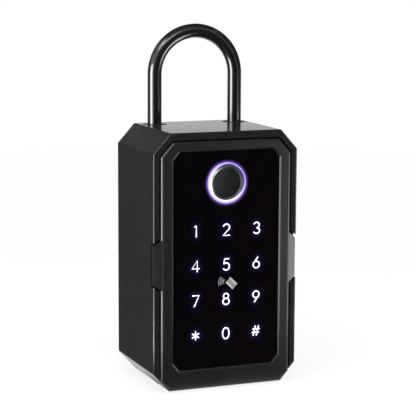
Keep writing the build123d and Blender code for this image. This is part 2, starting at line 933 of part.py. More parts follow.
def sensor_bezel():
    """Ring with a sloped mouth between the sensor and the light guide."""
    inner = sensor_radius + reader_fit
    outer = sensor_bezel_radius
    mouth = [(inner, bezel_mouth), (outer - bezel_lip, 0), (outer, bezel_lip)]
    profile = mouth + [(outer, bezel_deep), (inner, bezel_deep)]
    face = make_face(Polyline(*[(r, reader_front + y) for r, y in profile], close=True))
    return Pos(0, 0, reader_height) * revolve(face, Axis((0, 0, 0), (0, 1, 0)), 360)


def ring_light_guide():
    guide = rod(ring_radius, 0, glass_front, reader_height, ring_deep, "y")
    length = ring_deep + 2 * overcut
    return guide - rod(sensor_bezel_radius + reader_fit, 0, glass_front - overcut, reader_height, length, "y")


def sensor_flex():
    """Flat cable from the sensor's back, over the top of the main board and down onto it."""
    high_y = glass_front + reader_body_depth
    low_y = main_board_back
    bend = main_board_top + flex_bend
    landing = main_board_top - flex_landing
    top = bend + flex_bend / 2
    points = [(high_y, reader_height), (high_y + flex_thick, reader_height), (high_y + flex_thick, top)]
    points += [(low_y + flex_thick, bend), (low_y + flex_thick, landing), (low_y, landing)]
    points += [(low_y, bend - flex_thick), (high_y, top - flex_thick)]
    return side_prism(points, -flex_width / 2, flex_width / 2)


def inner_cover():
    """Moulded housing: walls, posts, ribs and the battery tray, then every opening in them."""
    outline = chamfered_box(cover_half_width, cover_bottom, cover_top, cover_chamfer, cover_chamfer)
    body = prism(outline, panel_floor_back, cover_back, cover_corner)
    body = chamfer(edges_at_y(body, cover_back), cover_edge)
    inner = chamfered_box(cover_half_width - cover_wall, cover_bottom + cover_wall, cover_top - cover_wall,
                          cover_chamfer, cover_chamfer)
    body -= prism(inner, panel_floor_back - overcut, cover_back - cover_wall)
    for feature in cover_posts() + cover_ribs() + battery_tray():
        body += feature
    for cut in cover_screw_holes() + cover_openings():
        body -= cut
    return body


def cover_posts():
    """Posts for the cover's own screws, the lid's, the motor clamp's and the bolt guide's."""
    end = cover_back - post_end
    start = panel_floor_back + door_post + door_post_gap
    posts = [rod(post_radius, x, start, z, end - start, "y") for x, z in post_places()]
    tray_face = bay_floor - cover_wall
    for z in lid_screw_places():
        posts.append(rod(small_post_radius, 0, tray_face, z, end - tray_face, "y"))
    for z in clamp_screw_places():
        posts.append(rod(small_post_radius, clamp_x, motor_front, z, end - motor_front, "y"))
    for x in guide_screw_places():
        posts.append(rod(small_post_radius, x, bolt_front, guide_screw_height, end - bolt_front, "y"))
    return posts


def cover_ribs():
    """Ribs that the bolt runs between, split round the gearbox, and a rest for the motor."""
    end = cover_back - post_end
    high = cover_top - post_end
    left = bolt_middle - bolt_width / 2 - bolt_clearance
    right = bolt_middle + bolt_width / 2 + bolt_clearance
    below = gearbox_low - gearbox_fit
    above = pinion_height + gearbox_height / 2 + gearbox_fit
    rest_x = gearbox_x + rest_inset
    rest_low = pinion_height - rest_height / 2
    rest_front = pinion_y + gearbox_depth / 2
    return [
        block(left - rib_thick, left, bolt_front, end, guide_low, high),
        block(right, right + rib_thick, bolt_front, end, guide_low, below),
        block(right, right + rib_thick, bolt_front, end, above, high),
        block(rest_x, rest_x + rest_length, rest_front, end, rest_low, rest_low + rest_height),
    ]


def battery_tray():
    """The tray's walls, and a thicker seat for its lid."""
    end = cover_back - post_end
    half = bay_half_width + cover_wall
    walls = block(-half, half, bay_floor - cover_wall, end, bay_bottom - cover_wall, bay_top + cover_wall)
    return [walls, block(-half, half, lid_front - cover_wall, end, lid_low, lid_high)]


def cover_screw_holes():
    hole = screw_radius + screw_clearance
    head_hole = screw_head_radius + screw_clearance
    cuts = []
    for x, z in post_places():
        cuts.append(rod(hole, x, panel_floor_back, z, cover_depth, "y"))
        cuts.append(rod(head_hole, x, cover_back - screw_head - head_sink, z, screw_head + overcut, "y"))
    bite = post_bite + screw_spare
    for z in lid_screw_places():
        cuts.append(rod(screw_radius, 0, lid_front - bite, z, bite + overcut, "y"))
    for z in clamp_screw_places():
        cuts.append(rod(screw_radius, clamp_x, motor_front - overcut, z, bite + overcut, "y"))
    for x in guide_screw_places():
        cuts.append(rod(screw_radius, x, bolt_front - overcut, guide_screw_height, bite + overcut, "y"))
    return cuts


def cover_openings():
    """Battery bay and lid seat, bolt's way out, shaft bearing, reset hole and power socket."""
    outside = cover_back + overcut
    left = bolt_middle - bolt_width / 2 - bolt_clearance
    right = bolt_middle + bolt_width / 2 + bolt_clearance
    bearing = shaft_radius + pin_clearance
    reset_hole = button_radius + button_play
    return [
        block(-bay_half_width, bay_half_width, bay_floor, outside, bay_bottom, bay_top),
        block(-lid_half, lid_half, lid_front, outside, lid_low, lid_high),
        block(left, right, bolt_front - bolt_clearance, bolt_back + bolt_clearance,
              bolt_low - bolt_clearance, cover_top + overcut),
        rod(bearing, left - rib_thick - overcut, pinion_y, pinion_height, rib_thick + 2 * overcut, "x"),
        rod(reset_hole, button_x, cover_back - 2 * cover_wall, button_height, 4 * cover_wall, "y"),
        usb_mouth(usb_cover_gap, cover_bottom - overcut, cover_bottom + cover_wall + overcut),
    ]


def clamp_screw_places():
    reach = gearbox_height / 2 + small_post_radius + clamp_screw_gap
    return (pinion_height - reach, pinion_height + reach)


def lid_screw_places():
    return (lid_low + lid_screw_inset, lid_high - lid_screw_inset)


def guide_screw_places():
    reach = bolt_width / 2 + bolt_clearance + rib_thick + guide_screw_out
    return (bolt_middle - reach, bolt_middle + reach)


def cover_screws():
    head_face = cover_back - screw_head - head_sink
    length = head_face - board_back - cover_screw_tip
    return group(screw(x, head_face, z, length, "-y") for x, z in post_places())


def motor_clamp():
    """Strap over the motor's front, screwed to a post above and below it."""
    places = clamp_screw_places()
    left = clamp_x - clamp_width / 2
    low = places[0] - clamp_end
    high = places[1] + clamp_end
    plate = block(left, left + clamp_width, motor_front - clamp_thick, motor_front, low, high)
    plate = fillet(plate.edges().filter_by(Axis.Y), clamp_round)
    for z in places:
        start = motor_front - clamp_thick - overcut
        plate -= rod(screw_radius + screw_clearance, clamp_x, start, z, clamp_thick + 2 * overcut, "y")
    return plate


def clamp_screws():
    face = motor_front - clamp_thick
    return group(screw(clamp_x, face, z, clamp_thick + post_bite, "+y") for z in clamp_screw_places())


def battery_cover():
    """Lid with grip grooves and two sunk screw holes."""
    half = lid_half - lid_gap
    lid = block(-half, half, lid_front, cover_back, lid_low + lid_gap, lid_high - lid_gap)
    lid = fillet(lid.edges().filter_by(Axis.Y), lid_round)
    for step in range(grip_count):
        z = bay_bottom + grip_rise + grip_pitch * step
        reach = grip_width / 2
        lid -= block(-reach, reach, cover_back - grip_cut, cover_back + overcut, z, z + grip_pitch / 2)
    for z in lid_screw_places():
        lid -= rod(screw_radius + screw_clearance, 0, lid_front - overcut, z, lid_thick + 2 * overcut, "y")
        head_hole = screw_head_radius + screw_clearance
        lid -= rod(head_hole, 0, cover_back - lid_screw_sink, z, lid_screw_sink + overcut, "y")
    return lid


def battery_cover_screws():
    face = cover_back - lid_screw_sink
    return group(screw(0, face, z, face - lid_front + post_bite, "-y") for z in lid_screw_places())


def cell_places():
    """Each cell's place across the bay, and whether it stands nub up."""
    pitch = 2 * cell_radius + cell_gap
    return [((i - (cell_count - 1) / 2) * pitch, i % 2 == 0) for i in range(cell_count)]


def batteries():
    """Round cells side by side, every other one turned end for end."""
    low = bay_bottom + spring_space
    cells = []
    for x, upright in cell_places():
        cell = rod(cell_radius, 0, 0, 0, cell_length, "z")
        cell = chamfer(cell.edges().filter_by(GeomType.CIRCLE), cell_edge)
        cell += rod(cell_nub_radius, 0, 0, cell_length - cell_edge, cell_nub + cell_edge, "z")
        if not upright:
            high = cell_length + cell_nub - spring_space + contact_thick
            cell = Pos(0, 0, high) * Rot(180, 0, 0) * cell
        cells.append(Pos(x, cell_y, low) * cell)
    return group(cells)


def battery_plates():
    half = bay_half_width - contact_end_gap
    y0 = cell_y - contact_width / 2
    y1 = cell_y + contact_width / 2
    low = block(-half, half, y0, y1, bay_bottom, bay_bottom + contact_thick)
    return group([low, block(-half, half, y0, y1, bay_top - contact_thick, bay_top)])


def battery_springs():
    """A coil between each cell's flat end and its contact plate."""
    length = spring_space - contact_thick - 2 * spring_fit
    springs = []
    for x, upright in cell_places():
        low = bay_bottom + contact_thick if upright else bay_top - spring_space
        spring = coil(spring_radius, spring_wire, spring_turns, length)
        springs.append(Pos(x, cell_y, low + spring_fit) * spring)
    return group(springs)


def main_board():
    """Board with a notch at each corner where a cover post stands."""
    half = main_board_half_width
    board = block(-half, half, board_front, main_board_back, main_board_bottom, main_board_top)
    board = fillet(board.edges().filter_by(Axis.Y).group_by(Axis.Z)[-1], main_board_round)
    inner = cover_half_width - post_inset - board_notch
    high = cover_bottom + post_inset + board_notch
    notch = block(inner, half + overcut, board_front - overcut, main_board_back + overcut, 0, high)
    return board - notch - mirror_x(notch)


def radio_module():
    x = main_board_half_width - module_width - module_inset
    z = main_board_top - module_height - module_drop
    return block(x, x + module_width, main_board_back, main_board_back + module_thick, z, z + module_height)


def buzzer():
    height = main_board_top - buzzer_drop
    body = rod(buzzer_radius, buzzer_x, main_board_back, height, buzzer_thick, "y")
    start = main_board_back + buzzer_thick - buzzer_hole_depth
    return body - rod(buzzer_hole_radius, buzzer_x, start, height, buzzer_hole_depth + overcut, "y")


def reset_switch():
    left = button_x - switch_size / 2
    low = button_height - switch_size / 2
    end = main_board_back + switch_thick
    return block(left, left + switch_size, main_board_back, end, low, low + switch_size)


def reset_button():
    """Long pin with a collar that keeps it behind the cover."""
    start = main_board_back + switch_thick + button_travel + button_play
    stem = rod(button_radius, button_x, start, button_height, cover_back - button_recess - start, "y")
    stem = chamfer(stem.edges().group_by(Axis.Y)[-1], button_recess)
    wide = button_radius + button_collar
    collar_start = cover_back - cover_wall - button_play - button_collar
    return stem + rod(wide, button_x, collar_start, button_height, button_collar, "y")


def usb_socket():
    """Metal shell with a tongue inside, open downwards."""
    low = door_lift + panel_wall + usb_lift
    shell = slot_prism(usb_width, usb_thick, low, low + usb_length + usb_base)
    wall = 2 * usb_shell
    shell -= slot_prism(usb_width - wall, usb_thick - wall, low - overcut, low + usb_length - overcut)
    half = usb_tongue_width / 2
    reach = usb_tongue_thick / 2
    return shell + block(-half, half, usb_y - reach, usb_y + reach, low + overcut, low + usb_length)


def usb_cap():
    """Rubber plug with a small pull."""
    cap = usb_mouth(cap_margin, door_lift + cap_play, door_lift + cap_thick - cap_play)
    cap += usb_mouth(-usb_shell, door_lift + cap_thick / 2, door_lift + panel_wall)
    half = cap_pull_width / 2
    reach = cap_pull_thick / 2
    low = door_lift - cap_pull_drop
    return cap + block(-half, half, usb_y - reach, usb_y + reach, low, door_lift + cap_thick / 2)


def involute_points():
    """Outline of the pinion about its own axis, one tooth after another."""
    tooth_angle = 2 * math.pi / pinion_teeth
    flat = math.radians(pressure_angle)
    base = pitch_radius * math.cos(flat)
    root = pitch_radius - 1.25 * gear_module
    tip = pitch_radius + gear_module
    half = math.pi / (2 * pinion_teeth) - gear_backlash / (2 * pitch_radius)

    def swing(radius):
        turn = math.acos(min(1.0, base / radius))
        return half + (math.tan(flat) - flat) - (math.tan(turn) - turn)

    radii = [base + (tip - base) * i / (flank_steps - 1) for i in range(flank_steps)]
    flank = [(root, swing(base) + gear_backlash / pitch_radius)] + [(r, swing(r)) for r in radii]
    points = []
    for tooth in range(pinion_teeth):
        middle = tooth * tooth_angle + math.pi
        for radius, angle in flank:
            points.append((radius * math.cos(middle - angle), radius * math.sin(middle - angle)))
        for radius, angle in reversed(flank):
            points.append((radius * math.cos(middle + angle), radius * math.sin(middle + angle)))
    return points


def drive_pinion():
    """Involute pinion with a hub, in mesh with the rack on the bolt's back."""
    x0 = bolt_middle - pinion_width / 2
    face = make_face(Polyline(*involute_points(), close=True))
    gear = extrude(Plane.YZ.offset(x0) * face, pinion_width, dir=(1, 0, 0))
    gear += rod(hub_radius, x0 + pinion_width, 0, 0, hub_length, "x")
    gear -= rod(shaft_radius, x0 - overcut, 0, 0, pinion_width + hub_length + 2 * overcut, "x")
    return Pos(0, pinion_y, pinion_height) * gear


def output_shaft():
    left = bolt_middle - bolt_width / 2 - bolt_clearance - rib_thick
    return rod(shaft_radius, left, pinion_y, pinion_height, gearbox_x - left, "x")


def rack_grooves():
    """Spaces of the rack across the bolt's back. One lies on the pinion's own level."""
    pitch = math.pi * gear_module
    lean = math.tan(math.radians(pressure_angle))
    half = pitch / 4 + gear_backlash / 2
    depth = 1.25 * gear_module
    mouth_y = bolt_back + gear_module
    bottom_y = bolt_back - gear_module - depth
    wide = half + 2 * gear_module * lean
    narrow = half - depth * lean
    grooves = []
    for step in range(-rack_teeth_below, rack_teeth - rack_teeth_below):
        z = pinion_height + step * pitch
        points = [(mouth_y, z - wide), (bottom_y, z - narrow), (bottom_y, z + narrow), (mouth_y, z + wide)]
        grooves.append(side_prism(points, bolt_middle - rack_width / 2, bolt_middle + rack_width / 2))
    return grooves


def lock_bolt():
    """Flat bolt with a bevelled top and a rack down its back."""
    half = bolt_width / 2
    body = block(bolt_middle - half, bolt_middle + half, bolt_front, bolt_back, bolt_low, bolt_high)
    body = chamfer(body.edges().filter_by(Axis.X).group_by(Axis.Z)[-1], bolt_lead)
    return body - rack_grooves()


def bolt_guide():
    """Plate that keeps the bolt in its channel."""
    xs = guide_screw_places()
    face = bolt_front - guide_gap
    high = cover_top - cover_wall - post_end
    plate = block(xs[0] - guide_margin, xs[1] + guide_margin, face - guide_thick, face, guide_low, high)
    plate = fillet(plate.edges().filter_by(Axis.Y), guide_round)
    start = face - guide_thick - overcut
    depth = guide_thick + 2 * overcut
    for x in xs:
        plate -= rod(screw_radius + screw_clearance, x, start, guide_screw_height, depth, "y")
    for x, z in post_places():
        plate -= rod(post_radius + door_post_gap, x, start, z, depth, "y")
    return plate


def guide_screws():
    face = bolt_front - guide_gap - guide_thick
    length = guide_thick + guide_gap + post_bite
    return group(screw(x, face, guide_screw_height, length, "+y") for x in guide_screw_places())


def motor_gearbox():
    """Gearbox with open sides between its two end plates."""
    x1 = gearbox_x + gearbox_length
    body = block(gearbox_x, x1, motor_front, motor_front + gearbox_depth, gearbox_low,
                 gearbox_low + gearbox_height)
    window_low = pinion_height - gearbox_window / 2
    for side in (-1, 1):
        y = pinion_y + side * gearbox_depth / 2
        body -= block(gearbox_x + gearbox_plate, x1 - gearbox_plate, y - gearbox_window_depth,
                      y + gearbox_window_depth, window_low, window_low + gearbox_window)
    return body


def lock_motor():
    """Motor can with two flats."""
    x0 = gearbox_x + gearbox_length
    can = rod(motor_radius, x0, pinion_y, pinion_height, motor_length, "x")
    low = pinion_height - motor_radius
    motor_back = motor_front + gearbox_depth
    return can & block(x0, x0 + motor_length, motor_front, motor_back, low, low + 2 * motor_radius)


NODES = {
    "case_shell": case_shell,
    "door_gasket": door_gasket,
    "strike_plate": strike_plate,
    "strike_screws": strike_screws,
    "shackle": shackle,
    "shackle_bushes": shackle_bushes,
    "lock_slide": lock_slide,
    "lock_bracket": lock_bracket,
    "bracket_screws": bracket_screws,
    "key_hook": key_hook,
    "hook_screws": hook_screws,
    "door_panel": door_panel,
    "hinge_pins": hinge_pins,
    "hinge_pin_springs": hinge_pin_springs,
    "glass_panel": glass_panel,
    "touch_board": touch_board,
    "key_leds": key_leds,
    "board_header": board_header,
    "fingerprint_sensor": fingerprint_sensor,
    "sensor_bezel": sensor_bezel,
    "ring_light_guide": ring_light_guide,
    "sensor_flex": sensor_flex,
    "inner_cover": inner_cover,
    "cover_screws": cover_screws,
    "battery_cover": battery_cover,
    "battery_cover_screws": battery_cover_screws,
    "batteries": batteries,
    "battery_plates": battery_plates,
    "battery_springs": battery_springs,
    "main_board": main_board,
    "radio_module": radio_module,
    "buzzer": buzzer,
    "reset_switch": reset_switch,
    "reset_button": reset_button,
    "usb_socket": usb_socket,
    "usb_cap": usb_cap,
    "drive_pinion": drive_pinion,
    "output_shaft": output_shaft,
    "lock_bolt": lock_bolt,
    "bolt_guide": bolt_guide,
    "guide_screws": guide_screws,
    "motor_gearbox": motor_gearbox,
    "lock_motor": lock_motor,
    "motor_clamp": motor_clamp,
    "clamp_screws": clamp_screws,
}

os.makedirs("parts", exist_ok=True)
for name, make in NODES.items():
    export_step(make(), f"parts/{name}.step")
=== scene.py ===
import json
import math

import bpy
from bpy.props import FloatProperty, FloatVectorProperty, PointerProperty
from mathutils import Matrix, Vector
from mathutils.bvhtree import BVHTree

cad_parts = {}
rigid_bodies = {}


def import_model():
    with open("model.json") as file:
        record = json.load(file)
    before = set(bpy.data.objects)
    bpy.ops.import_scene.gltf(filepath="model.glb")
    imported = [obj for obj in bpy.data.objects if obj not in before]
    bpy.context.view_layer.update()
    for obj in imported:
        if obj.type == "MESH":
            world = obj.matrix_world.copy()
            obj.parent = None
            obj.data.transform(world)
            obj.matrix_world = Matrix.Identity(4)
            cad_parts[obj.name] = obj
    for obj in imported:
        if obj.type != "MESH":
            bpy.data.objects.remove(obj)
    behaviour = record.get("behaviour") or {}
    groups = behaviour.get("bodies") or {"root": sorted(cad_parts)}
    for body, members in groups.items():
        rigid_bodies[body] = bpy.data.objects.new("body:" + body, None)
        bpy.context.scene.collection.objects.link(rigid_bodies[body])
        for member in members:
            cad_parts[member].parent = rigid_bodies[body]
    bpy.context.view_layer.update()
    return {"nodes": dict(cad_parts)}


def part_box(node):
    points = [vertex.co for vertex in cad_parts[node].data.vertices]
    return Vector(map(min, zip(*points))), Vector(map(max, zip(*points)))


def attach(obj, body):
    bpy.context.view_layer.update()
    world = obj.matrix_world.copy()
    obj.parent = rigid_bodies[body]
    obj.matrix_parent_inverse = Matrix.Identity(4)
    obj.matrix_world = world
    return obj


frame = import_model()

bl_info = {
    "name": "Fingerprint key box",
    "version": (1, 0, 0),
    "blender": (4, 5, 0),
    "location": "3D View > Sidebar > Key box",
    "description": "Dresses the key box: paint, glass, lit keypad, light ring and a plain studio",
    "category": "Object",
}

MM = 0.001

# Places taken from the frame, in metres.
GLASS_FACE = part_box("glass_panel")[0].y
CASE_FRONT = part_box("case_shell")[0].y
LAMPS_LOW, LAMPS_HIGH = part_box("key_leds")
GUIDE_LOW, GUIDE_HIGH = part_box("ring_light_guide")
BEZEL_LOW, BEZEL_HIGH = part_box("sensor_bezel")
READER = (GUIDE_LOW + GUIDE_HIGH) / 2
RING_RADIUS = (GUIDE_HIGH.x - GUIDE_LOW.x) / 2
RING_INNER = (BEZEL_HIGH.x - BEZEL_LOW.x) / 2

# Half a key lamp, from its middle to its side and to its top.
LAMP_HALF_WIDTH = 1.6 * MM
LAMP_HALF_HEIGHT = 0.8 * MM

# Card sign between the keys 5 and 8. Its waves start and end at angles in degrees.
CARD_LENGTH = 5.1 * MM
CARD_WIDTH = 3.6 * MM
CARD_LEAN = math.radians(-44.0)
CARD_RIGHT = 2.4 * MM
CARD_DROP = 0.7 * MM
CARD_STRIPE_EDGE = 0.24 * CARD_WIDTH
CARD_STRIPE_REACH = 0.5 * MM
CARD_SIGN_RIGHT = 0.4 * MM
CARD_SIGN_DROP = 0.2 * MM
WAVE_RADII = (2.3 * MM, 3.15 * MM, 4.0 * MM, 4.85 * MM)
WAVE_MIDDLE = (0.5 * MM, 0.1 * MM)
WAVE_SQUASH = 0.8
WAVE_START = 138
WAVE_END = 205

# Halo films: how far they stand over the glass, as shares of the signs' rise, and how finely they are cut.
KEY_FILM_SHARE = 0.3
RING_FILM_SHARE = 0.5
KEY_FILM_MARGIN = 5.0 * MM
KEY_FILM_PITCH = 0.28 * MM
RING_FILM_STEPS = 6
RING_FILM_SIDES = 96

# Halos: how strong their light is, and how fast the ring's falls off.
KEY_HALO_LIGHT = 0.09
RING_HALO_LIGHT = 0.6
RING_HALO_FALL = 3.0

# Lit ring: its light, the share of its width that the dark chrome lip takes at the top right and at the low
# left, how wide the lip's soft edge is, and where the light goes from white to violet. The lip's change in
# width is
# painted light and shade: it is wide at the top right as painted shade and gone at the low left as painted
# light.
RING_LIGHT = 0.92
LIP_AND_SHADE_WIDEST = 0.55
LIP_AND_SHADE_NARROWEST = -0.4
LIP_EDGE = 0.35
VIOLET_START = 0.15
VIOLET_END = 0.62

# Radii between which painted shade darkens the reader's coat towards its rim, next to the bezel.
READER_CLEAR = 5.6 * MM
READER_EDGE = 6.9 * MM

# Depths that the materials' surface relief stands for.
POLISH_DEPTH = 0.01 * MM
GRAIN_DEPTH = 0.02 * MM
TRACK_DEPTH = 0.04 * MM

# Colours of the metal pieces, as linear light.
ZINC = (0.52, 0.52, 0.54, 1.0)
SCREW_STEEL = (0.42, 0.42, 0.44, 1.0)
NICKEL = (0.66, 0.64, 0.60, 1.0)
MOTOR_CAN = (0.50, 0.50, 0.51, 1.0)
BRASS = (0.70, 0.50, 0.22, 1.0)
GUN_METAL = (0.24, 0.27, 0.30, 1.0)
CHROME_DARK = (0.05, 0.06, 0.07, 1.0)
CHROME_LIGHT = (0.07, 0.08, 0.10, 1.0)

# Colours of the plastic, rubber and electronic pieces, the reader's coat and the marks' light.
NYLON = (0.020, 0.020, 0.021, 1.0)
LID_PLASTIC = (0.026, 0.026, 0.028, 1.0)
BUTTON_RED = (0.45, 0.05, 0.04, 1.0)
RUBBER = (0.012, 0.012, 0.012, 1.0)
SLEEVE = (0.02, 0.022, 0.03, 1.0)
SLEEVE_BAND = (0.62, 0.36, 0.16, 1.0)
SOLDER_MASK = (0.006, 0.045, 0.018, 1.0)
MASKED_COPPER = (0.02, 0.14, 0.05, 1.0)
CABLE_AMBER = (0.50, 0.22, 0.04, 1.0)
LAMP_RESIN = (0.80, 0.78, 0.62, 1.0)
READER_COAT = (0.0042, 0.0050, 0.0048, 1.0)
GLASS_TINT = (0.0030, 0.0010, 0.0016, 1.0)
KEY_LIGHT_COOL = (0.86, 0.84, 1.0, 1.0)

# Colours of the studio.
WHITE = (1.0, 1.0, 1.0, 1.0)
PAPER_DARK = (0.90, 0.90, 0.90, 1.0)
PAPER_LIGHT = (0.92, 0.92, 0.92, 1.0)
GREY_CLOTH = (0.09, 0.09, 0.09, 1.0)
COAL_CLOTH = (0.05, 0.05, 0.05, 1.0)
BLACK_CLOTH = (0.015, 0.015, 0.015, 1.0)

# Studio, in metres, with the camera sensor's width in millimetres. The floor's own light grows from near to
# far, so the object's shadow stays.
FLOOR_SIDE = 8.0
FLOOR_NEAR = 0.20
FLOOR_FAR = 1.2
FLOOR_NEAR_LIGHT = 0.84
FRONT_CARD_GAP = 8.0 * MM
CLOTH_LIFT = 0.4 * MM
GLOW_LIFT = 2 * CLOTH_LIFT
SOFTBOX_PLACE = (-0.25, -0.35, 0.75)
SOFTBOX_AIM = (0.0, 0.0, 0.08)
SOFTBOX_LENGTH = 0.7
SOFTBOX_WIDTH = 0.5
SENSOR_WIDTH = 36.0
NEAREST_SIGHT = 0.01


def colour_property(name, description, default):
    return FloatVectorProperty(
        name=name, description=description, default=default, size=4, min=0.0, max=1.0, subtype="COLOR")


def length_property(name, description, default):
    return FloatProperty(
        name=name, description=description, default=default, min=0.0, unit="LENGTH", subtype="DISTANCE",
        precision=5)


def angle_property(name, description, degrees):
    return FloatProperty(
        name=name, description=description, default=math.radians(degrees), subtype="ANGLE", unit="ROTATION")


class KeyBoxColours(bpy.types.PropertyGroup):
    case: colour_property("Case paint", "Satin powder coat of the body", (0.012, 0.012, 0.013, 1.0))
    door: colour_property("Door paint", "Satin powder coat of the door", (0.007, 0.007, 0.008, 1.0))
    shackle: colour_property("Shackle coat", "Glossy black coat of the shackle", (0.006, 0.006, 0.007, 1.0))
    glass: colour_property("Glass", "Back-painted black glass", (0.0012, 0.0012, 0.0020, 1.0))
    key_light: colour_property("Key light", "Lit digits and signs", (0.95, 0.93, 1.0, 1.0))
    halo: colour_property("Halo", "Stray light round the lit signs", (0.13, 0.10, 0.60, 1.0))
    ring: colour_property("Ring light", "Outer part of the lit ring and its halo", (0.37, 0.24, 0.95, 1.0))
    icon: colour_property("Card sign", "Unlit grey card sign", (0.36, 0.36, 0.38, 1.0))


class KeyBoxSizes(bpy.types.PropertyGroup):
    digit_height: length_property("Digit height", "Height of a digit's centre line", 5.45 * MM)
    digit_width: length_property("Digit width", "Width scale of a digit", 5.6 * MM)
    stroke: length_property("Stroke", "Width of a digit's stroke", 0.60 * MM)
    mark_rise: length_property("Mark rise", "How far a mark stands proud of the glass", 0.03 * MM)
    halo_reach: length_property("Halo reach", "How far stray light spreads from a digit", 0.90 * MM)
    ring_reach: length_property("Ring halo reach", "How far stray light spreads from the ring", 2.0 * MM)
    icon_stroke: length_property("Card sign stroke", "Width of the card sign's waves", 0.42 * MM)


class KeyBoxStudio(bpy.types.PropertyGroup):
    lens: FloatProperty(
        name="Lens", description="Camera's focal length", default=136.7, min=1.0, unit="CAMERA")
    camera_yaw: angle_property("Camera yaw", "How far the view turns to the right of straight back", 21.92)
    camera_pitch: angle_property("Camera pitch", "How far the view looks down", 8.91)
    camera_roll: angle_property("Camera roll", "Turn of the picture", 0.28)
    camera_place: FloatVectorProperty(
        name="Camera place", description="Where the camera stands", default=(-0.2862, -0.7139, 0.2050),
        subtype="TRANSLATION", unit="LENGTH")
    room_light: FloatProperty(
        name="Room light", description="Strength of the light from all round", default=0.70, min=0.0)
    lamp_power: FloatProperty(
        name="Softbox power", description="Power of the overhead softbox", default=6.0, min=0.0,
        subtype="POWER", unit="POWER")


def colours():
    return bpy.context.scene.key_box_colours


def sizes():
    return bpy.context.scene.key_box_sizes


def studio():
    return bpy.context.scene.key_box_studio


def clear_selection():
    if bpy.context.object and bpy.context.object.mode != "OBJECT":
        bpy.ops.object.mode_set(mode="OBJECT")
    bpy.ops.object.select_all(action="DESELECT")


def select_only(item):
    clear_selection()
    item.select_set(True)
    bpy.context.view_layer.objects.active = item


def shade(colour, factor):
    """A colour made darker or lighter, as a plain list."""
    return [min(1.0, channel * factor) for channel in colour[:3]] + [1.0]


def direct_sight(tree):
    """1 for what the camera, gloss or clear material sees, and 0 for other light."""
    path = tree.nodes.new("ShaderNodeLightPath")
    seen = path.outputs["Is Camera Ray"]
    for name in ("Is Glossy Ray", "Is Transmission Ray"):
        either = tree.nodes.new("ShaderNodeMath")
        either.operation = "MAXIMUM"
        tree.links.new(seen, either.inputs[0])
        tree.links.new(path.outputs[name], either.inputs[1])
        seen = either.outputs[0]
    return seen


class Finish:
    """One material: its nodes, its position socket and its main shader."""

    def __init__(self, name):
        self.material = bpy.data.materials.new(name)
        self.material.use_nodes = True
        self.tree = self.material.node_tree
        self.tree.nodes.clear()
        self.place = self.add("ShaderNodeTexCoord").outputs["Object"]
        self.shader = self.add("ShaderNodeBsdfPrincipled")
        self.output = self.add("ShaderNodeOutputMaterial", {"Surface": self.shader.outputs[0]})

    def add(self, kind, inputs=None, **settings):
        node = self.tree.nodes.new(kind)
        for name, value in settings.items():
            setattr(node, name, value)
        for name, value in (inputs or {}).items():
            self.put(node, name, value)
        return node

    def put(self, node, name, value):
        if isinstance(value, bpy.types.NodeSocket):
            self.tree.links.new(value, node.inputs[name])
        else:
            node.inputs[name].default_value = value

    def set(self, name, value):
        self.put(self.shader, name, value)

    def moved(self, centre=(0.0, 0.0, 0.0), stretch=(1.0, 1.0, 1.0)):
        """The position, taken about a centre and stretched along each axis."""
        offset = self.add("ShaderNodeVectorMath", {0: self.place, 1: tuple(centre)}, operation="SUBTRACT")
        scaled = self.add("ShaderNodeVectorMath", {0: offset.outputs[0], 1: tuple(stretch)},
                          operation="MULTIPLY")
        return scaled.outputs[0]

    def about_reader(self):
        """The position across the glass, taken about the reader's middle."""
        return self.moved(centre=(0.0, 0.0, READER.z), stretch=(1.0, 0.0, 1.0))

    def length(self, place):
        return self.add("ShaderNodeVectorMath", {0: place}, operation="LENGTH").outputs["Value"]

    def axes(self, place):
        """The X, Y and Z of a position."""
        return self.add("ShaderNodeSeparateXYZ", {"Vector": place}).outputs

    def noise(self, scale, detail=2.0, place=None):
        inputs = {"Vector": place or self.place, "Scale": scale, "Detail": detail}
        return self.add("ShaderNodeTexNoise", inputs).outputs["Fac"]

    def speckle(self, scale):
        return self.add("ShaderNodeTexVoronoi", {"Vector": self.place, "Scale": scale}).outputs["Distance"]

    def span(self, value, low, high, start=0.3, end=0.7, steps="LINEAR"):
        """Carries a value from one range to another."""
        inputs = {"Value": value, "From Min": start, "From Max": end, "To Min": low, "To Max": high}
        return self.add("ShaderNodeMapRange", inputs, interpolation_type=steps).outputs["Result"]

    def tint(self, value, first, second):
        """Goes from a first colour to a second one as a value goes from 0 to 1."""
        colour_a = 6
        colour_b = 7
        colour_out = 2
        node = self.add("ShaderNodeMix", {0: value, colour_a: first, colour_b: second}, data_type="RGBA")
        return node.outputs[colour_out]

    def mottle(self, value, colour, dark, light):
        """Lets the base colour drift from a darker to a lighter tone."""
        drift = self.span(value, 0.0, 1.0)
        self.set("Base Color", self.tint(drift, shade(colour, dark), shade(colour, light)))

    def maths(self, operation, first, second=0.0):
        return self.add("ShaderNodeMath", {0: first, 1: second}, operation=operation).outputs[0]

    def bump(self, height, strength, depth):
        node = self.add("ShaderNodeBump", {"Height": height, "Strength": strength, "Distance": depth})
        self.set("Normal", node.outputs["Normal"])


def powder_coat(name, colour, roughness, shine):
    """Baked powder paint: a faint orange peel, a slow drift in tone and sheen."""
    finish = Finish(name)
    drift = finish.noise(35.0)
    finish.mottle(drift, colour, dark=0.92, light=1.1)
    finish.set("Roughness", finish.span(drift, roughness - 0.01, roughness + 0.01))
    finish.set("Specular IOR Level", shine)
    finish.bump(finish.noise(3200.0, detail=1.0), strength=0.012, depth=GRAIN_DEPTH)
    return finish.material


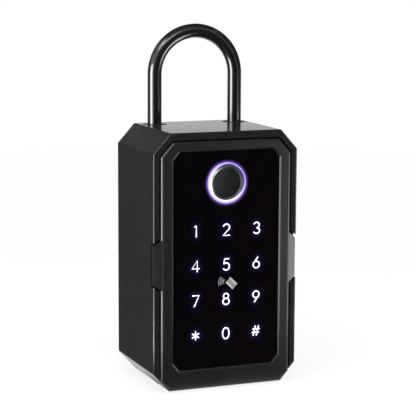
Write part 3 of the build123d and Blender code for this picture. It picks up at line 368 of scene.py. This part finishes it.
def lacquer(name, colour):
    """Hard glossy black over steel: a dull colour coat under a clear one that shows soft polishing waves."""
    finish = Finish(name)
    waves = finish.noise(60.0, place=finish.moved(stretch=(1.0, 1.0, 0.25)))
    finish.mottle(waves, colour, dark=0.8, light=1.3)
    finish.set("Roughness", 0.3)
    finish.set("Specular IOR Level", 0.1)
    finish.set("Coat Weight", 1.0)
    finish.set("Coat Roughness", finish.span(waves, 0.16, 0.18))
    finish.set("Coat IOR", 1.65)
    return finish.material


def plated_steel(name, colour, roughness, grain=(1.0, 1.0, 14.0)):
    """Plated metal with drawn grain and a faint cloudy passivation."""
    finish = Finish(name)
    streaks = finish.noise(700.0, detail=3.0, place=finish.moved(stretch=grain))
    finish.mottle(finish.noise(160.0), colour, dark=0.85, light=1.08)
    finish.set("Metallic", 1.0)
    finish.set("Roughness", finish.span(streaks, roughness - 0.06, roughness + 0.10))
    finish.bump(streaks, strength=0.10, depth=POLISH_DEPTH)
    return finish.material


def moulded(name, colour, roughness, grain=1800.0, relief=0.15):
    """Moulded plastic with a spark-eroded grain."""
    finish = Finish(name)
    texture = finish.speckle(grain)
    finish.mottle(finish.noise(120.0), colour, dark=0.85, light=1.15)
    finish.set("Roughness", finish.span(texture, roughness - 0.05, roughness + 0.08, start=0.0, end=1.0))
    finish.bump(texture, strength=relief, depth=GRAIN_DEPTH)
    return finish.material


def rubber(name, colour):
    """Soft rubber: matte, with a dusty bloom."""
    finish = Finish(name)
    bloom = finish.noise(500.0, detail=4.0)
    finish.mottle(bloom, colour, dark=0.8, light=1.6)
    finish.set("Roughness", finish.span(bloom, 0.62, 0.82))
    finish.bump(finish.noise(3000.0), strength=0.2, depth=GRAIN_DEPTH)
    return finish.material


def board_mask(name, mask, copper):
    """Solder mask over copper tracks, with the tracks standing slightly proud."""
    finish = Finish(name)
    parts = finish.axes(finish.moved(stretch=(1000.0, 1.0, 1000.0)))
    flat = finish.add("ShaderNodeCombineXYZ", {"X": parts["X"], "Y": parts["Z"]})
    tracks = finish.add("ShaderNodeTexBrick", {
        "Vector": flat.outputs[0], "Scale": 0.32, "Mortar Size": 0.06, "Color1": (0.0, 0.0, 0.0, 1.0),
        "Color2": (0.1, 0.1, 0.1, 1.0), "Mortar": WHITE})
    patches = finish.span(finish.noise(140.0), 0.0, 1.0, start=0.45, end=0.6)
    lines = finish.maths("MULTIPLY", tracks.outputs["Fac"], patches)
    finish.set("Base Color", finish.tint(lines, mask, copper))
    finish.set("Roughness", finish.span(finish.noise(900.0), 0.28, 0.4))
    finish.bump(lines, strength=0.25, depth=TRACK_DEPTH)
    return finish.material


def cell_sleeve(name, body, band):
    """Printed shrink sleeve of a cell: a dark body and a copper-tone end band."""
    finish = Finish(name)
    low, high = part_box("batteries")
    length = high.z - low.z
    band_low = high.z - 0.30 * length
    band_start = high.z - 0.29 * length
    top = finish.span(finish.axes(finish.place)["Z"], 0.0, 1.0, band_low, band_start)
    foil = finish.noise(1200.0, place=finish.moved(stretch=(1.0, 1.0, 0.1)))
    tone = finish.tint(top, body, band)
    finish.set("Base Color", finish.tint(finish.span(foil, 0.0, 0.25), tone, shade(band, 0.6)))
    finish.set("Metallic", 0.7)
    finish.set("Roughness", finish.span(foil, 0.24, 0.36))
    return finish.material


def flex_film(name, colour):
    """Amber cable film with its conductors showing through."""
    finish = Finish(name)
    across = finish.axes(finish.moved(stretch=(1600.0, 1.0, 1.0)))["X"]
    gaps = finish.span(finish.maths("PINGPONG", across, 0.5), 0.0, 1.0, start=0.2, end=0.3)
    finish.set("Base Color", finish.tint(gaps, shade(colour, 0.5), colour))
    finish.set("Roughness", finish.span(finish.noise(300.0), 0.25, 0.4))
    return finish.material


def gun_metal(name, colour, roughness):
    """Turned and polished ring, with fine lathe circles about the reader's middle."""
    finish = Finish(name)
    radius = finish.length(finish.about_reader())
    circles = finish.add("ShaderNodeCombineXYZ", {"X": radius}).outputs[0]
    rings = finish.noise(9000.0, detail=1.0, place=circles)
    finish.mottle(rings, colour, dark=0.8, light=1.0)
    finish.set("Metallic", 1.0)
    finish.set("Roughness", finish.span(rings, roughness, roughness + 0.08))
    return finish.material


def reader_face(name, colour):
    """The reader's window: a soft black coat, with painted shade that darkens it at its rim."""
    finish = Finish(name)
    # Painted shade: the coat goes darker towards its rim, next to the bezel.
    painted_rim_shade = finish.span(finish.length(finish.about_reader()), 0.0, 1.0, READER_CLEAR, READER_EDGE, "SMOOTHSTEP")
    finish.set("Base Color", finish.tint(painted_rim_shade, colour, shade(colour, 0.25)))
    finish.set("Roughness", finish.span(finish.noise(1500.0), 0.30, 0.42))
    finish.bump(finish.noise(5000.0, detail=1.0), strength=0.05, depth=POLISH_DEPTH)
    return finish.material


def black_glass(name):
    """Glass with a black back coat, whose face is nearly a mirror. The films add their light to it."""
    finish = Finish(name)
    drift = finish.span(finish.noise(45.0), 0.0, 0.6)
    finish.set("Base Color", finish.tint(drift, list(colours().glass), GLASS_TINT))
    finish.set("Roughness", finish.span(finish.noise(400.0), 0.045, 0.07))
    finish.set("Specular IOR Level", 0.35)
    return finish


def ring_light(name):
    """Lit ring: violet outside, whiter inside, with a dark chrome lip. Painted shade widens the lip at the
    top right and painted light narrows it at the low left.
    """
    finish = Finish(name)
    about = finish.about_reader()
    outward = finish.span(finish.length(about), 0.0, 1.0, RING_INNER, RING_RADIUS)
    side = finish.axes(about)
    low_left = finish.maths("MULTIPLY", finish.maths("ADD", side["X"], side["Z"]), -1.0)
    # Painted light and shade: the dark lip is wide at the top right and gone at the low left.
    lip_and_shade = finish.span(low_left, LIP_AND_SHADE_WIDEST, LIP_AND_SHADE_NARROWEST, start=-1.2 * RING_RADIUS, end=0.9 * RING_RADIUS)
    lit = finish.span(outward, 0.0, 1.0, lip_and_shade, finish.maths("ADD", lip_and_shade, LIP_EDGE), "SMOOTHSTEP")
    violet = finish.span(outward, 0.10, 1.0, VIOLET_START, VIOLET_END, "SMOOTHSTEP")
    tone = finish.tint(violet, list(colours().key_light), list(colours().ring))
    polish = finish.noise(700.0)
    chrome = finish.tint(polish, CHROME_DARK, CHROME_LIGHT)
    finish.set("Base Color", finish.tint(lit, chrome, tone))
    finish.set("Roughness", finish.span(polish, 0.18, 0.24))
    finish.set("Emission Color", tone)
    finish.set("Emission Strength", finish.maths("MULTIPLY", lit, RING_LIGHT))
    return finish.material


def key_light(name):
    """Lit white of the digits, with a slight cool drift."""
    finish = Finish(name)
    drift = finish.span(finish.noise(900.0), 0.0, 1.0)
    tone = finish.tint(drift, list(colours().key_light), KEY_LIGHT_COOL)
    finish.set("Base Color", tone)
    finish.set("Roughness", finish.span(finish.noise(700.0), 0.3, 0.4))
    finish.set("Emission Color", tone)
    finish.set("Emission Strength", 1.0)
    return finish.material


def sign_grey(name, dark, light, glow):
    """Unlit grey print, given a faint painted glow of its own."""
    finish = Finish(name)
    finish.mottle(finish.noise(700.0), colours().icon, dark, light)
    finish.set("Emission Color", list(colours().icon))
    finish.set("Emission Strength", glow)
    finish.set("Roughness", 0.5)
    return finish.material


def studio_cloth(name, colour, glow):
    """Cloth of a studio card, which may give light of its own."""
    finish = Finish(name)
    finish.set("Base Color", finish.tint(finish.noise(60.0), shade(colour, 0.9), shade(colour, 1.1)))
    finish.set("Roughness", 0.9)
    finish.set("Specular IOR Level", 0.1)
    finish.set("Emission Color", list(colour))
    finish.set("Emission Strength", glow)
    return finish.material


def floor_paper(name):
    """Pale paper that shows white far off and keeps the shadow close to the object."""
    finish = Finish(name)
    finish.set("Base Color", finish.tint(finish.noise(6.0), PAPER_DARK, PAPER_LIGHT))
    finish.set("Roughness", 0.9)
    finish.set("Specular IOR Level", 0.0)
    glow = finish.add("ShaderNodeEmission", {"Color": WHITE, "Strength": 1.0})
    away = finish.length(finish.place)
    share = finish.span(away, FLOOR_NEAR_LIGHT, 1.0, FLOOR_NEAR, FLOOR_FAR, "SMOOTHSTEP")
    blend = finish.maths("MULTIPLY", direct_sight(finish.tree), share)
    mix = finish.add("ShaderNodeMixShader", {0: blend, 1: finish.shader.outputs[0], 2: glow.outputs[0]})
    finish.put(finish.output, "Surface", mix.outputs[0])
    return finish.material


def paint_node(material, *names):
    for name in names:
        node = frame["nodes"][name]
        node.data.materials.clear()
        node.data.materials.append(material)


class OBJECT_OT_case_paint(bpy.types.Operator):
    """Paint the die-cast body"""
    bl_idname = "key_box.case_paint"
    bl_label = "Paint the case"

    def execute(self, context):
        paint = powder_coat("case_powder_coat", colours().case, roughness=0.20, shine=0.36)
        paint_node(paint, "case_shell")
        return {"FINISHED"}


class OBJECT_OT_door_paint(bpy.types.Operator):
    """Paint the door"""
    bl_idname = "key_box.door_paint"
    bl_label = "Paint the door"

    def execute(self, context):
        paint = powder_coat("door_powder_coat", colours().door, roughness=0.38, shine=0.5)
        paint_node(paint, "door_panel")
        return {"FINISHED"}


class OBJECT_OT_shackle_coat(bpy.types.Operator):
    """Coat the shackle in glossy black"""
    bl_idname = "key_box.shackle_coat"
    bl_label = "Coat the shackle"

    def execute(self, context):
        paint_node(lacquer("shackle_lacquer", colours().shackle), "shackle")
        return {"FINISHED"}


class OBJECT_OT_metal_finish(bpy.types.Operator):
    """Give the steel and brass pieces their metal"""
    bl_idname = "key_box.metal_finish"
    bl_label = "Finish the metal pieces"

    def execute(self, context):
        zinc = plated_steel("zinc_plated_steel", ZINC, 0.30)
        paint_node(zinc, "strike_plate", "lock_slide", "lock_bracket", "key_hook", "bolt_guide",
                   "motor_clamp", "lock_bolt")
        screws = plated_steel("screw_steel", SCREW_STEEL, 0.26, grain=(4.0, 4.0, 4.0))
        paint_node(screws, "strike_screws", "bracket_screws", "hook_screws", "cover_screws",
                   "battery_cover_screws", "guide_screws", "clamp_screws", "hinge_pins", "output_shaft")
        nickel = plated_steel("nickel_plated_steel", NICKEL, 0.20)
        paint_node(nickel, "hinge_pin_springs", "battery_springs", "battery_plates", "usb_socket")
        can = plated_steel("motor_can_steel", MOTOR_CAN, 0.34, grain=(14.0, 1.0, 1.0))
        paint_node(can, "motor_gearbox", "lock_motor", "radio_module")
        brass = plated_steel("pinion_brass", BRASS, 0.28, grain=(10.0, 1.0, 1.0))
        paint_node(brass, "drive_pinion")
        return {"FINISHED"}


class OBJECT_OT_plastic_finish(bpy.types.Operator):
    """Give the moulded and rubber pieces their finish"""
    bl_idname = "key_box.plastic_finish"
    bl_label = "Finish the plastic pieces"

    def execute(self, context):
        nylon = moulded("black_nylon", NYLON, 0.48)
        paint_node(nylon, "inner_cover", "shackle_bushes", "buzzer", "reset_switch", "board_header")
        paint_node(moulded("lid_plastic", LID_PLASTIC, 0.42, grain=2400.0), "battery_cover")
        paint_node(moulded("button_plastic", BUTTON_RED, 0.35, grain=2400.0), "reset_button")
        paint_node(rubber("black_rubber", RUBBER), "door_gasket", "usb_cap")
        paint_node(cell_sleeve("cell_sleeve", SLEEVE, SLEEVE_BAND), "batteries")
        return {"FINISHED"}


class OBJECT_OT_electronics_finish(bpy.types.Operator):
    """Give the boards, the flat cable and the key lamps their finish"""
    bl_idname = "key_box.electronics_finish"
    bl_label = "Finish the electronics"

    def execute(self, context):
        paint_node(board_mask("board_solder_mask", SOLDER_MASK, MASKED_COPPER), "main_board", "touch_board")
        paint_node(flex_film("sensor_flex_film", CABLE_AMBER), "sensor_flex")
        paint_node(moulded("lamp_resin", LAMP_RESIN, 0.30, grain=2800.0, relief=0.05), "key_leds")
        return {"FINISHED"}


class OBJECT_OT_reader_finish(bpy.types.Operator):
    """Finish the glass, the fingerprint reader and its lit ring"""
    bl_idname = "key_box.reader_finish"
    bl_label = "Finish the glass and reader"

    def execute(self, context):
        paint_node(black_glass("black_glass").material, "glass_panel")
        paint_node(reader_face("reader_coat", READER_COAT), "fingerprint_sensor")
        paint_node(gun_metal("reader_gun_metal", GUN_METAL, 0.30), "sensor_bezel")
        paint_node(ring_light("ring_light"), "ring_light_guide")
        return {"FINISHED"}


def arc(centre_x, centre_z, radius_x, radius_z, start, end, steps=14):
    """Points along part of an oval, from one angle to another in degrees."""
    turns = [math.radians(start + (end - start) * step / steps) for step in range(steps + 1)]
    return [(centre_x + radius_x * math.cos(turn), centre_z + radius_z * math.sin(turn)) for turn in turns]


def oval(centre_z, radius_x, radius_z, steps=24):
    """A closed oval on a sign's upright middle line."""
    return arc(0.0, centre_z, radius_x, radius_z, 0, 360, steps)


def six():
    """A bowl with a straight leg that leaves it on the left."""
    return [[(0.16, 0.5), (-0.235, -0.055)], oval(-0.2, 0.29, 0.30)]


def turned(strokes):
    """Strokes turned upside down."""
    return [[(-x, -z) for x, z in points] for points in strokes]


def star():
    """Three strokes that cross in the middle."""
    arms = []
    for angle in (90, 30, 150):
        x = 0.37 * math.cos(math.radians(angle))
        z = 0.40 * math.sin(math.radians(angle))
        arms.append([(-x, -z), (x, z)])
    return arms


def hash_sign():
    """Two leaning uprights and two bars."""
    return [[(-0.24, -0.46), (-0.02, 0.46)], [(0.06, -0.46), (0.28, 0.46)],
            [(-0.30, 0.15), (0.38, 0.15)], [(-0.36, -0.16), (0.32, -0.16)]]


def glyphs():
    """Centre lines of each key's sign, for a height of 1."""
    return {
        "one": [[(-0.13, 0.40), (0.04, 0.5), (0.04, -0.5)]],
        "two": [arc(0.0, 0.22, 0.29, 0.28, 165, -38) + [(-0.31, -0.5), (0.32, -0.5)]],
        "three": [arc(0.0, 0.25, 0.25, 0.25, 160, -90), arc(0.0, -0.25, 0.29, 0.25, 90, -160)],
        "four": [[(0.14, -0.5), (0.14, 0.5), (-0.35, -0.2), (0.34, -0.2)]],
        "five": [[(0.26, 0.5), (-0.15, 0.5), (-0.22, 0.08)] + arc(-0.01, -0.18, 0.30, 0.32, 128, -150)],
        "six": six(),
        "seven": [[(-0.31, 0.5), (0.31, 0.5), (-0.14, -0.5)]],
        "eight": [oval(0.27, 0.23, 0.23), oval(-0.22, 0.29, 0.28)],
        "nine": turned(six()),
        "star": star(),
        "zero": [oval(0.0, 0.30, 0.5, steps=32)],
        "hash": hash_sign(),
    }


def key_places():
    """Each sign's name and middle, row by row from the top, over the lamps behind the glass."""
    rows = [["one", "two", "three"], ["four", "five", "six"], ["seven", "eight", "nine"],
            ["star", "zero", "hash"]]
    left = LAMPS_LOW.x + LAMP_HALF_WIDTH
    right = LAMPS_HIGH.x - LAMP_HALF_WIDTH
    bottom = LAMPS_LOW.z + LAMP_HALF_HEIGHT
    top = LAMPS_HIGH.z - LAMP_HALF_HEIGHT
    places = []
    for line, names in enumerate(rows):
        for column, name in enumerate(names):
            x = left + (right - left) * column / 2
            z = top + (bottom - top) * line / 3
            places.append((name, x, z))
    return places


def raised_sign(name, strokes, width, rise):
    """A flat raised sign: round strokes along centre lines, pressed flat on the glass."""
    clear_selection()
    bpy.ops.curve.primitive_nurbs_path_add()
    path = bpy.context.object
    path.name = name
    path.data.splines.clear()
    path.data.dimensions = "3D"
    path.data.bevel_depth = width / 2
    path.data.bevel_resolution = 3
    path.data.use_fill_caps = True
    touching = width * 0.01
    for points in strokes:
        closed = math.dist(points[0], points[-1]) < touching
        if closed:
            points = points[:-1]
        line = path.data.splines.new("POLY")
        line.points.add(len(points) - 1)
        for target, (x, z) in zip(line.points, points):
            target.co = (x, 0.0, z, 1.0)
        line.use_cyclic_u = closed
    select_only(path)
    bpy.ops.object.convert(target="MESH")
    sign = bpy.context.object
    sign.data.transform(Matrix.Diagonal((1.0, 2 * rise / width, 1.0, 1.0)))
    sign.data.transform(Matrix.Translation((0.0, GLASS_FACE, 0.0)))
    return sign


class OBJECT_OT_key_signs(bpy.types.Operator):
    """Model the lit digits, the star and the hash"""
    bl_idname = "key_box.key_signs"
    bl_label = "Model the key signs"

    def execute(self, context):
        lit = key_light("key_light")
        wide = sizes().digit_width
        tall = sizes().digit_height
        signs = glyphs()
        for name, x, z in key_places():
            strokes = [[(x + a * wide, z + b * tall) for a, b in points] for points in signs[name]]
            sign = raised_sign(f"key_{name}", strokes, sizes().stroke, sizes().mark_rise)
            sign.data.materials.append(lit)
            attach(sign, "door")
        return {"FINISHED"}


class OBJECT_OT_card_sign(bpy.types.Operator):
    """Model the unlit card sign and its waves"""
    bl_idname = "key_box.card_sign"
    bl_label = "Model the card sign"

    def execute(self, context):
        heights = {name: z for name, x, z in key_places()}
        centre_z = (heights["five"] + heights["eight"]) / 2 - CARD_SIGN_DROP
        # Both greys glow faintly: painted light on unlit print.
        grey = sign_grey("card_sign_grey", dark=0.8, light=1.0, glow=0.35)
        dim = sign_grey("card_wave_grey", dark=0.35, light=0.55, glow=0.20)
        card = self.card(Vector((CARD_SIGN_RIGHT + CARD_RIGHT, GLASS_FACE, centre_z - CARD_DROP)), grey, dim)
        ripple = self.waves(CARD_SIGN_RIGHT + WAVE_MIDDLE[0], centre_z + WAVE_MIDDLE[1], dim)
        for piece in (card, ripple):
            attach(piece, "door")
        return {"FINISHED"}

    def card(self, middle, grey, dim):
        """A thin leaning card with a darker stripe along its middle."""
        rise = sizes().mark_rise
        clear_selection()
        bpy.ops.mesh.primitive_cube_add(size=1.0)
        card = bpy.context.object
        card.name = "card_plate"
        bpy.ops.object.mode_set(mode="EDIT")
        bpy.ops.mesh.select_all(action="SELECT")
        bpy.ops.transform.resize(value=(CARD_LENGTH, 2 * rise, CARD_WIDTH))
        for edge in (CARD_STRIPE_EDGE, -CARD_STRIPE_EDGE):
            bpy.ops.mesh.select_all(action="SELECT")
            bpy.ops.mesh.bisect(plane_co=(0, 0, edge), plane_no=(0, 0, 1))
        bpy.ops.object.mode_set(mode="OBJECT")
        select_only(card)
        bevel = card.modifiers.new("corners", "BEVEL")
        bevel.width = rise * 0.8
        bevel.segments = 2
        bpy.ops.object.modifier_apply(modifier="corners")
        card.data.transform(Matrix.Translation(middle) @ Matrix.Rotation(-CARD_LEAN, 4, "Y"))
        card.data.materials.append(grey)
        card.data.materials.append(dim)
        short_way = Vector((-math.sin(CARD_LEAN), 0.0, math.cos(CARD_LEAN)))
        for face in card.data.polygons:
            from_stripe = abs((face.center - middle).dot(short_way))
            face.material_index = int(from_stripe < CARD_STRIPE_REACH)
        return card

    def waves(self, middle_x, middle_z, dim):
        """Four arcs that spread to the left of the card."""
        arcs = [arc(middle_x, middle_z, radius, radius * WAVE_SQUASH, WAVE_START, WAVE_END, steps=8)
                for radius in WAVE_RADII]
        ripple = raised_sign("card_waves", arcs, sizes().icon_stroke, sizes().mark_rise)
        ripple.data.materials.append(dim)
        return ripple


class OBJECT_OT_halo_film(bpy.types.Operator):
    """Lay the films whose stray light makes a halo round the lit signs and the ring"""
    bl_idname = "key_box.halo_film"
    bl_label = "Lay the halo films"

    def execute(self, context):
        for piece in (self.key_film(context), self.ring_film()):
            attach(piece, "door")
        return {"FINISHED"}

    def key_film(self, context):
        """A film over the keys that glows less the further a point is from a lit sign."""
        reach = sizes().halo_reach
        furthest = 4 * reach
        depsgraph = context.evaluated_depsgraph_get()
        signs = [bpy.data.objects[f"key_{name}"] for name, x, z in key_places()]
        trees = [BVHTree.FromObject(sign, depsgraph) for sign in signs]
        film = self.sheet("key_halo_film")
        glow = film.data.attributes.new("glow", "FLOAT", "POINT")
        for vertex in film.data.vertices:
            nearest = [tree.find_nearest(vertex.co, furthest)[3] for tree in trees]
            distance = min((found for found in nearest if found is not None), default=furthest)
            glow.data[vertex.index].value = math.exp(-distance / reach)
        finish = black_glass("key_halo_glass")
        light = finish.add("ShaderNodeAttribute", attribute_name="glow").outputs["Fac"]
        finish.set("Emission Color", list(colours().halo))
        finish.set("Emission Strength", finish.span(light, 0.0, KEY_HALO_LIGHT, start=0.03, end=1.0))
        film.data.materials.append(finish.material)
        return film

    def sheet(self, name):
        """A flat grid that stands just proud of the glass and reaches past the keys."""
        clear_selection()
        low_x = LAMPS_LOW.x - KEY_FILM_MARGIN
        high_x = LAMPS_HIGH.x + KEY_FILM_MARGIN
        low_z = LAMPS_LOW.z - KEY_FILM_MARGIN
        high_z = LAMPS_HIGH.z + KEY_FILM_MARGIN
        across = round((high_x - low_x) / KEY_FILM_PITCH)
        up = round((high_z - low_z) / KEY_FILM_PITCH)
        bpy.ops.mesh.primitive_grid_add(x_subdivisions=across, y_subdivisions=up, size=1.0)
        film = bpy.context.object
        film.name = name
        face = GLASS_FACE - sizes().mark_rise * KEY_FILM_SHARE
        middle = ((low_x + high_x) / 2, face, (low_z + high_z) / 2)
        film.data.transform(Matrix.Translation(middle) @ Matrix.Rotation(math.radians(90), 4, "X")
                            @ Matrix.Diagonal((high_x - low_x, high_z - low_z, 1.0, 1.0)))
        return film

    def ring_film(self):
        """A flat ring round the lit one that glows less towards its outside."""
        clear_selection()
        bpy.ops.mesh.primitive_circle_add(vertices=RING_FILM_SIDES, radius=RING_RADIUS, fill_type="NOTHING")
        film = bpy.context.object
        film.name = "ring_halo_film"
        bpy.ops.object.mode_set(mode="EDIT")
        reach = sizes().ring_reach
        radii = [RING_RADIUS + reach * step / RING_FILM_STEPS for step in range(RING_FILM_STEPS + 1)]
        for inner, outer in zip(radii, radii[1:]):
            bpy.ops.mesh.extrude_edges_move()
            bpy.ops.transform.resize(value=(outer / inner, outer / inner, 1.0))
        bpy.ops.mesh.select_all(action="SELECT")
        bpy.ops.mesh.normals_make_consistent(inside=False)
        bpy.ops.object.mode_set(mode="OBJECT")
        face = GLASS_FACE - sizes().mark_rise * RING_FILM_SHARE
        film.data.transform(Matrix.Translation((READER.x, face, READER.z))
                            @ Matrix.Rotation(math.radians(90), 4, "X"))
        faces_glass = film.data.polygons[0].normal.y > 0.0
        if faces_glass:
            film.data.flip_normals()
        finish = black_glass("ring_halo_glass")
        fade = finish.span(finish.length(finish.about_reader()), 1.0, 0.0, RING_RADIUS, RING_RADIUS + reach)
        finish.set("Emission Color", list(colours().ring))
        fallen = finish.maths("POWER", fade, RING_HALO_FALL)
        finish.set("Emission Strength", finish.maths("MULTIPLY", fallen, RING_HALO_LIGHT))
        film.data.materials.append(finish.material)
        return film


def glossy_card(name, place, turn, width, depth, height, colour, glow=0.0):
    """Card that lies level from a place and is folded up or down at its far end. Only gloss sees it."""
    clear_selection()
    bpy.ops.mesh.primitive_plane_add(size=1.0)
    card = bpy.context.object
    card.name = name
    card.data.transform(Matrix.Translation((0.0, depth / 2, 0.0)) @ Matrix.Diagonal((width, depth, 1.0, 1.0)))
    bpy.ops.object.mode_set(mode="EDIT")
    bpy.ops.mesh.select_mode(type="EDGE")
    bpy.ops.mesh.select_all(action="DESELECT")
    bpy.ops.object.mode_set(mode="OBJECT")
    for edge in card.data.edges:
        edge.select = all(card.data.vertices[i].co.y > depth / 2 for i in edge.vertices)
    bpy.ops.object.mode_set(mode="EDIT")
    bpy.ops.mesh.extrude_edges_move(TRANSFORM_OT_translate={"value": (0.0, 0.0, height)})
    bpy.ops.object.mode_set(mode="OBJECT")
    card.data.transform(Matrix.Translation(place) @ Matrix.Rotation(math.radians(turn), 4, "Z"))
    card.data.materials.append(studio_cloth(f"{name}_cloth", colour, glow))
    card.visible_camera = False
    card.visible_diffuse = False
    card.visible_transmission = False
    card.visible_shadow = False


class OBJECT_OT_studio(bpy.types.Operator):
    """Set the pale floor, the cards, the soft light and the camera"""
    bl_idname = "key_box.studio"
    bl_label = "Set the studio"

    def execute(self, context):
        self.floor()
        self.cards()
        self.world()
        self.softbox()
        self.camera()
        context.scene.view_settings.view_transform = "Standard"
        return {"FINISHED"}

    def floor(self):
        clear_selection()
        bpy.ops.mesh.primitive_plane_add(size=FLOOR_SIDE)
        floor = bpy.context.object
        floor.name = "studio_floor"
        floor.data.materials.append(floor_paper("studio_floor_paper"))

    def cards(self):
        """Dark cloths that the glass, the sides and the shackle show, and two bright ones for the edges."""
        glossy_card(
            "front_card", place=(-0.01, CASE_FRONT - FRONT_CARD_GAP, CLOTH_LIFT), turn=180.0,
            width=0.28, depth=0.14, height=0.30, colour=BLACK_CLOTH)
        glossy_card(
            "left_card", place=(-0.22, -0.03, CLOTH_LIFT), turn=0.0,
            width=0.36, depth=0.15, height=0.22, colour=GREY_CLOTH)
        glossy_card(
            "top_card", place=(0.10, -0.50, 0.70), turn=0.0,
            width=0.90, depth=0.75, height=-0.52, colour=COAL_CLOTH)
        glossy_card(
            "right_card", place=(0.12, -0.05, CLOTH_LIFT), turn=-90.0,
            width=0.60, depth=0.20, height=0.45, colour=COAL_CLOTH)
        glossy_card(
            "right_glow", place=(0.12, -0.08, GLOW_LIFT), turn=-126.9,
            width=0.10, depth=0.10, height=0.10, colour=WHITE, glow=6.0)
        glossy_card(
            "left_strip", place=(-0.10, -0.025, GLOW_LIFT), turn=101.0,
            width=0.13, depth=0.14, height=0.20, colour=WHITE, glow=14.0)

    def world(self):
        """Even light from all round. What the camera, gloss and glass see of the room is white."""
        world = bpy.data.worlds.new("studio_room")
        bpy.context.scene.world = world
        world.use_nodes = True
        tree = world.node_tree
        tree.nodes.clear()
        mix = tree.nodes.new("ShaderNodeMixShader")
        tree.links.new(direct_sight(tree), mix.inputs[0])
        for strength, socket in zip((studio().room_light, 1.0), mix.inputs[1:]):
            light = tree.nodes.new("ShaderNodeBackground")
            light.inputs["Color"].default_value = WHITE
            light.inputs["Strength"].default_value = strength
            tree.links.new(light.outputs[0], socket)
        output = tree.nodes.new("ShaderNodeOutputWorld")
        tree.links.new(mix.outputs[0], output.inputs["Surface"])

    def softbox(self):
        clear_selection()
        bpy.ops.object.light_add(type="AREA", location=SOFTBOX_PLACE)
        lamp = bpy.context.object
        lamp.name = "overhead_softbox"
        lamp.data.shape = "RECTANGLE"
        lamp.data.size = SOFTBOX_LENGTH
        lamp.data.size_y = SOFTBOX_WIDTH
        lamp.data.energy = studio().lamp_power
        aim = Vector(SOFTBOX_AIM) - lamp.location
        lamp.rotation_euler = aim.to_track_quat("-Z", "Y").to_euler()

    def camera(self):
        clear_selection()
        bpy.ops.object.camera_add()
        camera = bpy.context.object
        camera.name = "photo_camera"
        camera.data.lens = studio().lens
        camera.data.sensor_width = SENSOR_WIDTH
        camera.data.dof.use_dof = False
        camera.data.clip_start = NEAREST_SIGHT
        camera.matrix_world = (Matrix.Translation(studio().camera_place)
                               @ Matrix.Rotation(-studio().camera_yaw, 4, "Z")
                               @ Matrix.Rotation(math.radians(90) - studio().camera_pitch, 4, "X")
                               @ Matrix.Rotation(studio().camera_roll, 4, "Z"))
        bpy.context.scene.camera = camera


OPERATORS = (
    OBJECT_OT_case_paint,
    OBJECT_OT_door_paint,
    OBJECT_OT_shackle_coat,
    OBJECT_OT_metal_finish,
    OBJECT_OT_plastic_finish,
    OBJECT_OT_electronics_finish,
    OBJECT_OT_reader_finish,
    OBJECT_OT_key_signs,
    OBJECT_OT_card_sign,
    OBJECT_OT_halo_film,
    OBJECT_OT_studio,
)


class VIEW3D_PT_key_box(bpy.types.Panel):
    """Steps that dress the key box"""
    bl_label = "Key box"
    bl_idname = "VIEW3D_PT_key_box"
    bl_space_type = "VIEW_3D"
    bl_region_type = "UI"
    bl_category = "Key box"

    def draw(self, context):
        for operator in OPERATORS:
            self.layout.operator(operator.bl_idname)
        for group in (colours(), sizes(), studio()):
            for name in group.bl_rna.properties.keys():
                if name not in ("rna_type", "name"):
                    self.layout.prop(group, name)


GROUPS = {"key_box_colours": KeyBoxColours, "key_box_sizes": KeyBoxSizes, "key_box_studio": KeyBoxStudio}


def register():
    for group in GROUPS.values():
        bpy.utils.register_class(group)
    for operator in OPERATORS:
        bpy.utils.register_class(operator)
    bpy.utils.register_class(VIEW3D_PT_key_box)
    for name, group in GROUPS.items():
        setattr(bpy.types.Scene, name, PointerProperty(type=group))


def unregister():
    for name in GROUPS:
        delattr(bpy.types.Scene, name)
    bpy.utils.unregister_class(VIEW3D_PT_key_box)
    for operator in reversed(OPERATORS):
        bpy.utils.unregister_class(operator)
    for group in GROUPS.values():
        bpy.utils.unregister_class(group)


def main():
    register()
    bpy.ops.key_box.case_paint()
    bpy.ops.key_box.door_paint()
    bpy.ops.key_box.shackle_coat()
    bpy.ops.key_box.metal_finish()
    bpy.ops.key_box.plastic_finish()
    bpy.ops.key_box.electronics_finish()
    bpy.ops.key_box.reader_finish()
    bpy.ops.key_box.key_signs()
    bpy.ops.key_box.card_sign()
    bpy.ops.key_box.halo_film()
    bpy.ops.key_box.studio()


if __name__ == "__main__":
    main()
